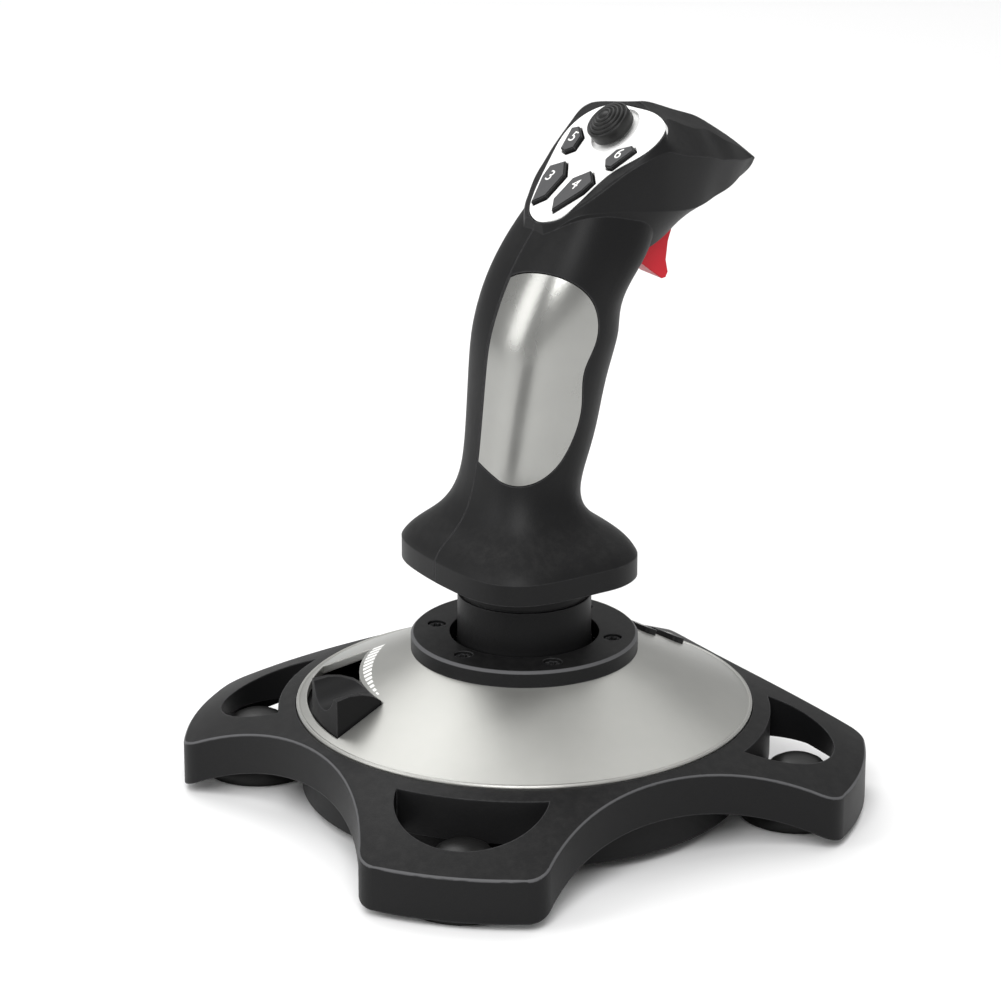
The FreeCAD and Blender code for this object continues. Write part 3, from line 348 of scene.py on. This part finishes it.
def key_material(name, direction, finishes):
    """A black key whose painted face looks in a direction."""
    # The edge share of fourteen paints a highlight on the key's rounded edges, as well as wear
    return surface(name, tuple(finishes.body), (0.38, 0.46), edge=(0.0003, 14.0), specular=0.15,
                   top=(direction, tuple(finishes.buttons)))


def ink_material(colour):
    """The ink of the numbers and of the scale."""
    return surface("White ink", colour, (0.45, 0.55), grain=(1500.0, 0.000001), edge=(0.0001, 1.0))


# ---------------------------------------------------------------- geometry node groups
def new_shape_group(name, inputs):
    """An empty geometry node group that takes a base mesh and a material besides its inputs."""
    group = bpy.data.node_groups.new(name, "GeometryNodeTree")
    group.interface.new_socket("Base", in_out="INPUT", socket_type="NodeSocketGeometry")
    for kind, label, default in inputs:
        socket = group.interface.new_socket(label, in_out="INPUT", socket_type="NodeSocket" + kind)
        socket.default_value = default
    group.interface.new_socket("Material", in_out="INPUT", socket_type="NodeSocketMaterial")
    group.interface.new_socket("Piece", in_out="OUTPUT", socket_type="NodeSocketGeometry")
    return group, group.nodes.new("NodeGroupInput"), group.nodes.new("NodeGroupOutput")


def end_group(group, inside, outside, geometry):
    """Realize Instances and Set Material, the end of every shape group."""
    real = add(group, "GeometryNodeRealizeInstances", (("Geometry", geometry),))
    coated = add(group, "GeometryNodeSetMaterial", (("Geometry", real.outputs["Geometry"]),
                                                    ("Material", inside.outputs["Material"])))
    group.links.new(coated.outputs["Geometry"], outside.inputs["Piece"])


def maths(group, operation, *values):
    """The result of a math node on sockets and numbers."""
    return add(group, "ShaderNodeMath", tuple(enumerate(values)), operation=operation).outputs["Value"]


def on_circle(group, radius, angle, height=0.0):
    """A place by its distance from the axis, its clockwise angle from the front and its height."""
    across = maths(group, "MULTIPLY", radius, maths(group, "SINE", angle))
    ahead = maths(group, "MULTIPLY", radius, maths(group, "COSINE", angle))
    place = add(group, "ShaderNodeCombineXYZ", (("X", across), ("Y", ahead), ("Z", height)))
    return place.outputs["Vector"]


def turned_group():
    """Turns a chain of points (radius, lobe depth, height) about the vertical axis."""
    group, inside, outside = new_shape_group("Turned piece", (("Int", "Steps", 96), ("Int", "Lobes", 0)))
    profile = inside.outputs["Base"]
    size = add(group, "GeometryNodeAttributeDomainSize", (("Geometry", profile),), component="MESH")
    points = size.outputs["Point Count"]
    columns = maths(group, "ADD", inside.outputs["Steps"], 1.0)
    sheet = add(group, "GeometryNodeMeshGrid", (("Size X", 1.0), ("Size Y", 1.0), ("Vertices X", columns),
                                                ("Vertices Y", points)))
    place = group.nodes.new("GeometryNodeInputPosition").outputs["Position"]
    on_sheet = add(group, "ShaderNodeSeparateXYZ", (("Vector", place),))
    angle = maths(group, "MULTIPLY", maths(group, "ADD", on_sheet.outputs["X"], 0.5), math.tau)
    row = maths(group, "MULTIPLY", maths(group, "ADD", on_sheet.outputs["Y"], 0.5),
                maths(group, "SUBTRACT", points, 1.0))
    sample = add(group, "GeometryNodeSampleIndex", (("Geometry", profile), ("Value", place),
                                                    ("Index", maths(group, "ROUND", row))),
                 data_type="FLOAT_VECTOR", domain="POINT")
    point = add(group, "ShaderNodeSeparateXYZ", (("Vector", sample.outputs["Value"]),))
    wave = maths(group, "COSINE", maths(group, "MULTIPLY", angle, inside.outputs["Lobes"]))
    radius = maths(group, "ADD", point.outputs["X"], maths(group, "MULTIPLY", wave, point.outputs["Y"]))
    target = on_circle(group, radius, angle, point.outputs["Z"])
    bent = add(group, "GeometryNodeSetPosition", (("Geometry", sheet.outputs["Mesh"]), ("Position", target)))
    closed = add(group, "GeometryNodeMergeByDistance", (("Geometry", bent.outputs["Geometry"]),
                                                        ("Distance", TURNED_WELD)))
    end_group(group, inside, outside, closed.outputs["Geometry"])
    return group


def ring_group():
    """Copies of a piece, evenly spaced on a circle and turned with it."""
    group, inside, outside = new_shape_group("Ring of pieces", (
        ("Int", "Count", 6), ("Float", "Radius", 0.03), ("Float", "First", 0.0)))
    share = maths(group, "DIVIDE", math.tau, inside.outputs["Count"])
    index = group.nodes.new("GeometryNodeInputIndex").outputs["Index"]
    angle = maths(group, "ADD", inside.outputs["First"], maths(group, "MULTIPLY", index, share))
    spot = on_circle(group, inside.outputs["Radius"], angle)
    spots = add(group, "GeometryNodePoints", (("Count", inside.outputs["Count"]), ("Position", spot)))
    turn = add(group, "ShaderNodeCombineXYZ", (("Z", maths(group, "MULTIPLY", angle, -1.0)),))
    copies = add(group, "GeometryNodeInstanceOnPoints", (("Points", spots.outputs["Points"]),
                                                         ("Instance", inside.outputs["Base"]),
                                                         ("Rotation", turn.outputs["Vector"])))
    end_group(group, inside, outside, copies.outputs["Instances"])
    return group


def scale_group():
    """Marks along an arc on the dome's cone, from the longest to the shortest."""
    group, inside, outside = new_shape_group("Scale marks", (
        ("Int", "Count", 14), ("Float", "Start", 0.0), ("Float", "End", 1.0), ("Float", "Outer radius", 0.05),
        ("Float", "Longest", 0.004), ("Float", "Shortest", 0.001), ("Float", "Width", 0.001),
        ("Float", "Thickness", 0.0001), ("Float", "Slope", 0.4), ("Float", "Apex", 0.06)))
    index = group.nodes.new("GeometryNodeInputIndex").outputs["Index"]
    part = maths(group, "DIVIDE", index, maths(group, "SUBTRACT", inside.outputs["Count"], 1.0))
    sweep = maths(group, "SUBTRACT", inside.outputs["End"], inside.outputs["Start"])
    angle = maths(group, "ADD", inside.outputs["Start"], maths(group, "MULTIPLY", part, sweep))
    spread = maths(group, "SUBTRACT", inside.outputs["Longest"], inside.outputs["Shortest"])
    fall = maths(group, "COSINE", maths(group, "MULTIPLY", part, math.pi / 2))
    length = maths(group, "ADD", inside.outputs["Shortest"], maths(group, "MULTIPLY", spread, fall))
    radius = maths(group, "SUBTRACT", inside.outputs["Outer radius"], maths(group, "MULTIPLY", length, 0.5))
    drop = maths(group, "MULTIPLY", radius, maths(group, "TANGENT", inside.outputs["Slope"]))
    spot = on_circle(group, radius, angle, maths(group, "SUBTRACT", inside.outputs["Apex"], drop))
    spots = add(group, "GeometryNodePoints", (("Count", inside.outputs["Count"]), ("Position", spot)))
    turn = add(group, "ShaderNodeCombineXYZ", (("X", maths(group, "MULTIPLY", inside.outputs["Slope"], -1.0)),
                                               ("Z", maths(group, "MULTIPLY", angle, -1.0))))
    stretch = add(group, "ShaderNodeCombineXYZ", (("X", inside.outputs["Width"]), ("Y", length),
                                                  ("Z", inside.outputs["Thickness"])))
    marks = add(group, "GeometryNodeInstanceOnPoints", (("Points", spots.outputs["Points"]),
                                                        ("Instance", inside.outputs["Base"]),
                                                        ("Rotation", turn.outputs["Vector"]),
                                                        ("Scale", stretch.outputs["Vector"])))
    end_group(group, inside, outside, marks.outputs["Instances"])
    return group


# ---------------------------------------------------------------- pieces
def plain_mesh(source):
    """The evaluated mesh of an object, which is then removed."""
    depsgraph = bpy.context.evaluated_depsgraph_get()
    mesh = bpy.data.meshes.new_from_object(source.evaluated_get(depsgraph))
    bpy.data.objects.remove(source)
    return mesh


def shaped(name, base, group_name, material, **values):
    """The plain mesh that a geometry node group makes of a base mesh."""
    host = bpy.data.objects.new(name, base)
    bpy.context.scene.collection.objects.link(host)
    modifier = host.modifiers.new("Shape", "NODES")
    group = bpy.data.node_groups[group_name]
    values["Material"] = material
    modifier.node_group = group
    for socket in group.interface.items_tree:
        key = socket.name.replace(" ", "_")
        if socket.in_out == "INPUT" and key in values:
            modifier[socket.identifier] = values[key]
    return plain_mesh(host)


def chain(points):
    """A mesh of vertices joined in a line, from (radius, lobe depth, height) in millimetres."""
    mesh = bpy.data.meshes.new("Profile")
    links = [(step, step + 1) for step in range(len(points) - 1)]
    mesh.from_pydata([Vector(point) * MM for point in points], links, [])
    return mesh


def put_piece(name, mesh, body, *nodes, slot, sharp=40.0):
    """A finished piece that rides on a body, and stands in for the nodes if any are named."""
    tidy = bmesh.new()
    tidy.from_mesh(mesh)
    bmesh.ops.remove_doubles(tidy, verts=tidy.verts, dist=PIECE_WELD)
    bmesh.ops.recalc_face_normals(tidy, faces=tidy.faces)
    tidy.to_mesh(mesh)
    tidy.free()
    mesh.shade_smooth()
    mesh.set_sharp_from_angle(angle=math.radians(sharp))
    piece = bpy.data.objects.new(name, mesh)
    bpy.context.scene.collection.objects.link(piece)
    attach(piece, body)
    if nodes:
        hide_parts(*nodes)


def on_plate(across, up, out=0.0):
    """The matrix of a place on the thumb plate, in millimetres across, up and out of it."""
    spot = PLATE_POINT + Vector((across * MM, 0, 0)) + PLATE_UP * (up * MM) + PLATE_OUT * (out * MM)
    axes = Matrix(((1, 0, 0), PLATE_UP, PLATE_OUT)).transposed()
    return Matrix.Translation(spot) @ axes.to_4x4()


def on_dome(compass, radius, out):
    """The matrix of a place on the dome, its second axis up the cone's slope towards the front."""
    outward = polar(1.0, compass)
    normal = outward * math.sin(DOME_SLOPE) + Vector((0, 0, math.cos(DOME_SLOPE)))
    along = outward * math.cos(DOME_SLOPE) - Vector((0, 0, math.sin(DOME_SLOPE)))
    axes = Matrix((along.cross(normal), along, normal)).transposed()
    spot = polar(radius * MM, compass, dome_height(radius * MM)) + normal * out
    return Matrix.Translation(spot) @ axes.to_4x4()


def number_mesh(text, height, ink, material):
    """A number as a thin closed print, centred on its place."""
    curve = bpy.data.curves.new("Number", "FONT")
    curve.body = text
    curve.align_x = "CENTER"
    curve.align_y = "CENTER"
    curve.size = height * FONT_SIZE_PER_HEIGHT
    curve.extrude = ink * 0.5
    curve.materials.append(material)
    host = bpy.data.objects.new("Number", curve)
    bpy.context.scene.collection.objects.link(host)
    return plain_mesh(host)


def star_screw_profile(depth):
    """Half section of a collar screw, with a six-lobed star recess."""
    return ((0, 0, -7.0), (1.25, 0, -7.0), (1.25, 0, -1.5), (2.6, 0, -1.5), (2.6, 0, -0.2), (2.45, 0, 0.0),
            (1.75, 0.42, 0.0), (1.70, 0.42, -0.1), (1.62, 0.42, -depth), (0, 0, -depth - 0.2))


def cup_profile():
    """Half section of a suction cup: its hollow, its domed back, and a stem with a domed head."""
    width, height, stem = 17.5, 12.4, 4.0
    back = []
    for step in range(11):
        turn = math.radians(9 + 7.2 * step)
        back.append((width * math.cos(turn) ** 0.8, 0, height * math.sin(turn) ** 1.1))
    under = ((0, 0, 8.0), (5.0, 0, 7.7), (9.0, 0, 6.8), (12.5, 0, 5.0), (15.0, 0, 2.8), (16.1, 0, 0.0),
             (17.4, 0, 0.0))
    head = ((stem, 0, 12.3), (stem, 0, 14.9), (9.0, 0, 14.9), (8.9, 0, 15.6), (8.0, 0, 16.7),
            (6.0, 0, 17.8), (3.0, 0, 18.5), (0, 0, 18.7))
    return under + tuple(point for point in back if point[0] > stem + 0.2) + head


def cap_profile(rings):
    """Half section of the hat's cap: an upright wall, a waist and stepped rings on top."""
    radius, wall_top = 7.1, 4.2
    points = [(0, 0, -1.6), (1.8, 0, -1.6), (1.8, 0, 0.6), (6.7, 0, 0.6), (7.0, 0, 0.9), (radius, 0, 1.6)]
    width = (radius - 1.5) / rings
    top = wall_top
    for ring in range(rings):
        outer = radius - ring * width
        top += 0.75 - 0.08 * ring
        points += [(outer, 0, top - 0.35), (outer - 0.08, 0, top - 0.12), (outer - 0.3, 0, top),
                   (outer - 0.6 * width, 0, top - 0.05), (outer - 0.8 * width, 0, top - 0.30)]
    return tuple(points) + ((0.9, 0, top + 0.1), (0, 0, top + 0.2))


def lip_profile():
    """A rolled bead round the dome's rim."""
    radius, height, bead, steps = 70.2, 30.25, 0.75, 12
    turns = (math.tau * step / steps for step in range(steps + 1))
    return tuple((radius + bead * math.cos(turn), 0, height + bead * math.sin(turn)) for turn in turns)


# ---------------------------------------------------------------- operators
# Each thumb key's number and its place across and up the plate, in millimetres
THUMB_KEYS = ((3, -7.3, -7.0), (4, 6.0, -6.6), (5, -12.3, 8.0), (6, 12.3, 8.0))
# The base keys stand on two circles, at three angles from the front
BASE_KEY_CIRCLES = (60.25, 48.25)
BASE_KEY_ANGLES = (-46, -27, -8)
# Each base key's number, its angle in degrees and its distance from the axis in millimetres
BASE_KEYS = tuple((7 + 3 * row + column, compass, radius)
                  for row, radius in enumerate(BASE_KEY_CIRCLES)
                  for column, compass in enumerate(BASE_KEY_ANGLES))


class JOYSTICK_OT_finishes(bpy.types.Operator):
    """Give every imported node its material"""
    bl_idname = "joystick.finishes"
    bl_label = "Finishes"

    def execute(self, context):
        moulded_grain_group()
        edge_wear_group()
        dust_group()
        turned_group()
        ring_group()
        scale_group()
        finishes = context.scene.joystick_finishes
        materials = make_materials(finishes)
        keys = {"thumb": key_material("Thumb key", PLATE_OUT, finishes),
                "base": key_material("Base key", BASE_KEY_LOOK, finishes),
                "side": key_material("Side key", (-1.0, 0.0, 0.0), finishes)}
        ink_material(tuple(finishes.prints))
        for name, node in NODES.items():
            slot = node.data.materials[0].name
            if name in ("base_frame", "collar"):
                node.data.materials[0] = materials["frame_black"]
            elif slot == "button_grey":
                kind = "base" if name.startswith("base_") else "side" if name.startswith("side_") else "thumb"
                node.data.materials[0] = keys[kind]
            else:
                node.data.materials[0] = materials[slot]
        return {"FINISHED"}


class JOYSTICK_OT_collar_screws(bpy.types.Operator):
    """Six star-headed screws that hold the collar"""
    bl_idname = "joystick.collar_screws"
    bl_label = "Collar screws"

    def execute(self, context):
        sizes = context.scene.joystick_sizes
        black = bpy.data.materials["Satin black plastic"]
        one = shaped("Screw", chain(star_screw_profile(sizes.star_depth / MM)), "Turned piece", black,
                     Steps=sizes.turned_steps, Lobes=6)
        one.transform(Matrix.Translation((0, 0, COLLAR_TOP - SCREW_SINK)))
        mesh = shaped("Screws", one, "Ring of pieces", black, Count=6, Radius=SCREW_CIRCLE,
                      First=FIRST_CORNER)
        put_piece("Collar_screws", mesh, "base", "collar_screws", slot="steel")
        return {"FINISHED"}


class JOYSTICK_OT_hat_cap(bpy.types.Operator):
    """The ringed rubber cap of the hat switch"""
    bl_idname = "joystick.hat_cap"
    bl_label = "Hat cap"

    def execute(self, context):
        sizes = context.scene.joystick_sizes
        mesh = shaped("Cap", chain(cap_profile(sizes.cap_rings)), "Turned piece",
                      bpy.data.materials["Soft rubber"], Steps=sizes.turned_steps, Lobes=0)
        mesh.transform(on_plate(0, HAT_UP))
        put_piece("Hat_cap", mesh, "hat", "hat_cap", slot="soft_rubber", sharp=50)
        return {"FINISHED"}


class JOYSTICK_OT_suction_cups(bpy.types.Operator):
    """The four suction cups under the legs"""
    bl_idname = "joystick.suction_cups"
    bl_label = "Suction cups"

    def execute(self, context):
        sizes = context.scene.joystick_sizes
        rubber = bpy.data.materials["Soft rubber"]
        one = shaped("Cup", chain(cup_profile()), "Turned piece", rubber, Steps=sizes.turned_steps, Lobes=0)
        mesh = shaped("Cups", one, "Ring of pieces", rubber, Count=4, Radius=CUP_CIRCLE,
                      First=FIRST_CORNER)
        put_piece("Suction_cups", mesh, "base", "suction_cup_1", "suction_cup_2", "suction_cup_3",
                  "suction_cup_4", slot="soft_rubber", sharp=50)
        return {"FINISHED"}


class JOYSTICK_OT_dome_lip(bpy.types.Operator):
    """The rolled bead round the dome's rim"""
    bl_idname = "joystick.dome_lip"
    bl_label = "Dome lip"

    def execute(self, context):
        mesh = shaped("Lip", chain(lip_profile()), "Turned piece", bpy.data.materials["Dome lacquer"],
                      Steps=2 * context.scene.joystick_sizes.turned_steps, Lobes=0)
        put_piece("Dome_lip", mesh, "base", slot="silver_dome")
        return {"FINISHED"}


class JOYSTICK_OT_throttle_scale(bpy.types.Operator):
    """The printed scale beside the throttle's slot"""
    bl_idname = "joystick.throttle_scale"
    bl_label = "Throttle scale"

    def execute(self, context):
        sizes = context.scene.joystick_sizes
        mark = bpy.data.meshes.new("Mark")
        shape = bmesh.new()
        bmesh.ops.create_cube(shape, size=1.0)
        shape.to_mesh(mark)
        shape.free()
        mesh = shaped("Marks", mark, "Scale marks", bpy.data.materials["White ink"], Count=sizes.marks,
                      Start=SCALE_START, End=SCALE_END, Outer_radius=SCALE_CIRCLE,
                      Longest=sizes.longest_mark, Shortest=sizes.shortest_mark, Width=MARK_WIDTH,
                      Thickness=2 * sizes.ink, Slope=DOME_SLOPE, Apex=dome_height(0.0))
        put_piece("Throttle_scale", mesh, "base", slot="white_plate")
        return {"FINISHED"}


class JOYSTICK_OT_numbers(bpy.types.Operator):
    """The printed numbers on the keys"""
    bl_idname = "joystick.numbers"
    bl_label = "Numbers"

    def execute(self, context):
        sizes = context.scene.joystick_sizes
        places = [(2, "thumb_key_2", self.on_side_key())]
        places += [(number, "grip_key_%d" % number, on_plate(across, up, KEY_RISE / MM))
                   for number, across, up in THUMB_KEYS]
        places += [(number, "base_key_%d" % number, on_dome(compass, radius, BASE_KEY_RISE))
                   for number, compass, radius in BASE_KEYS]
        ink = bpy.data.materials["White ink"]
        for number, body, place in places:
            height = sizes.digit_height * (BASE_DIGIT_SHARE if body.startswith("base_key_") else 1.0)
            mesh = number_mesh(str(number), height, sizes.ink, ink)
            mesh.transform(place @ Matrix.Translation((0, 0, INK_LIFT * sizes.ink)))
            put_piece("Number_%d" % number, mesh, body, slot="white_plate")
        return {"FINISHED"}

    @staticmethod
    def on_side_key():
        """The matrix of the outer face of the key on the left flank."""
        face = NODES["side_button_2"]
        outer = min((face.matrix_world @ vertex.co).x for vertex in face.data.vertices)
        axes = Matrix(((0, -1, 0), (0, 0, 1), (-1, 0, 0))).transposed()
        return Matrix.Translation((outer, SIDE_KEY_FORWARD, SIDE_KEY_HEIGHT)) @ axes.to_4x4()


class JOYSTICK_OT_stage(bpy.types.Operator):
    """Set the floor, the studio lights and the camera"""
    bl_idname = "joystick.stage"
    bl_label = "Stage"

    def execute(self, context):
        make_floor(context)
        make_flag(context)
        make_lights(context)
        make_camera(context)
        return {"FINISHED"}


# ---------------------------------------------------------------- stage
def make_floor(context):
    """A wide pale floor with a faint change of tone."""
    mesh = bpy.data.meshes.new("Floor")
    half = 6.0
    corners = [(-half, -half, 0), (half, -half, 0), (half, half, 0), (-half, half, 0)]
    mesh.from_pydata(corners, [], [(0, 1, 2, 3)])
    floor = bpy.data.objects.new("Floor", mesh)
    context.scene.collection.objects.link(floor)
    material = bpy.data.materials.new("Studio floor")
    material.use_nodes = True
    tree = material.node_tree
    place = tree.nodes.new("ShaderNodeTexCoord").outputs["Object"]
    cloud = add(tree, "ShaderNodeTexNoise", (("Vector", place), ("Scale", 3.0)))
    tone = add(tree, "ShaderNodeMix", data_type="RGBA")
    tree.links.new(cloud.outputs["Fac"], tone.inputs["Factor"])
    tone.inputs["A"].default_value = (0.90, 0.90, 0.90, 1)
    tone.inputs["B"].default_value = (0.93, 0.93, 0.93, 1)
    shader = tree.nodes["Principled BSDF"]
    shader.inputs["Roughness"].default_value = 0.9
    shader.inputs["Specular IOR Level"].default_value = 0.1
    tree.links.new(tone.outputs["Result"], shader.inputs["Base Color"])
    mesh.materials.append(material)


AIM = Vector((0.0, 0.0, 0.095))
# name, place, width, depth, power
LIGHTS = (
    ("Left softbox", (-1.02, 0.00, 1.39), 1.0, 1.0, 6.0),
    ("Near softbox", (-0.35, -1.45, 0.75), 0.9, 1.1, 9.0),
    ("Front fill", (1.20, -1.00, 1.60), 1.2, 1.2, 34.0),
    ("Top softbox", (-0.50, 0.70, 2.20), 2.6, 2.6, 19.0),
)
# The dark card on the floor, which the camera doesn't see: how far its near and far ends are from the
# axis, half the width of its near end, its height, and its clockwise angle from the front
FLAG = (0.30, 1.10, 0.11)
FLAG_HEIGHT = 0.002
FLAG_COMPASS = 152.0


def make_flag(context):
    """A dark card on the floor whose reflection draws the streak down the grip's panel."""
    near, far, half = FLAG
    mesh = bpy.data.meshes.new("Flag")
    corners = [(-half, near, FLAG_HEIGHT), (half, near, FLAG_HEIGHT),
               (2 * half, far, FLAG_HEIGHT), (-2 * half, far, FLAG_HEIGHT)]
    mesh.from_pydata(corners, [], [(0, 1, 2, 3)])
    mesh.transform(Matrix.Rotation(-math.radians(FLAG_COMPASS), 4, "Z"))
    mesh.materials.append(bpy.data.materials["Switch body"])
    flag = bpy.data.objects.new("Flag", mesh)
    context.scene.collection.objects.link(flag)
    flag.visible_camera = False
    flag.visible_diffuse = False
    flag.visible_shadow = False


def make_lights(context):
    """Soft lights that look at the object, and an even pale surround."""
    for name, place, width, depth, power in LIGHTS:
        data = bpy.data.lights.new(name, "AREA")
        data.shape = "RECTANGLE"
        data.size = width
        data.size_y = depth
        data.energy = power
        light = bpy.data.objects.new(name, data)
        light.location = place
        light.rotation_euler = (AIM - Vector(place)).to_track_quat("-Z", "Y").to_euler()
        context.scene.collection.objects.link(light)
    world = bpy.data.worlds.new("Studio")
    world.use_nodes = True
    backdrop = world.node_tree.nodes["Background"]
    backdrop.inputs["Color"].default_value = (1.0, 1.0, 1.0, 1.0)
    backdrop.inputs["Strength"].default_value = 0.45
    context.scene.world = world
    context.scene.view_settings.view_transform = "Standard"


CAMERA_PLACE = Vector((1.000742, -0.650634, 0.512611))
CAMERA_TARGET = Vector((-0.00402, -0.00618, 0.09552))
CAMERA_LENS = 148.47


def make_camera(context):
    """A long lens that looks down on the object from its right-hand back."""
    data = bpy.data.cameras.new("Camera")
    data.lens = CAMERA_LENS
    data.sensor_width = 36.0
    data.clip_start = 0.05
    data.clip_end = 50.0
    camera = bpy.data.objects.new("Camera", data)
    camera.location = CAMERA_PLACE
    camera.rotation_euler = (CAMERA_TARGET - CAMERA_PLACE).to_track_quat("-Z", "Y").to_euler()
    context.scene.collection.objects.link(camera)
    context.scene.camera = camera


# ---------------------------------------------------------------- panel and registration
STEPS = (JOYSTICK_OT_finishes, JOYSTICK_OT_collar_screws, JOYSTICK_OT_hat_cap, JOYSTICK_OT_suction_cups,
         JOYSTICK_OT_dome_lip, JOYSTICK_OT_throttle_scale, JOYSTICK_OT_numbers, JOYSTICK_OT_stage)


class JOYSTICK_PT_build(bpy.types.Panel):
    """Lists the steps that build the joystick"""
    bl_idname = "JOYSTICK_PT_build"
    bl_label = "Flight joystick"
    bl_space_type = "VIEW_3D"
    bl_region_type = "UI"
    bl_category = "Joystick"

    def draw(self, context):
        layout = self.layout
        for group in (context.scene.joystick_finishes, context.scene.joystick_sizes):
            for name in group.bl_rna.properties.keys():
                if name not in ("rna_type", "name"):
                    layout.prop(group, name)
        for step in STEPS:
            layout.operator(step.bl_idname)


CLASSES = (JoystickFinishes, JoystickSizes, *STEPS, JOYSTICK_PT_build)


def register():
    for item in CLASSES:
        bpy.utils.register_class(item)
    bpy.types.Scene.joystick_finishes = bpy.props.PointerProperty(type=JoystickFinishes)
    bpy.types.Scene.joystick_sizes = bpy.props.PointerProperty(type=JoystickSizes)


def unregister():
    del bpy.types.Scene.joystick_sizes
    del bpy.types.Scene.joystick_finishes
    for item in reversed(CLASSES):
        bpy.utils.unregister_class(item)


def main():
    register()
    for step in STEPS:
        group, name = step.bl_idname.split(".")
        getattr(getattr(bpy.ops, group), name)()


if __name__ == "__main__":
    main()
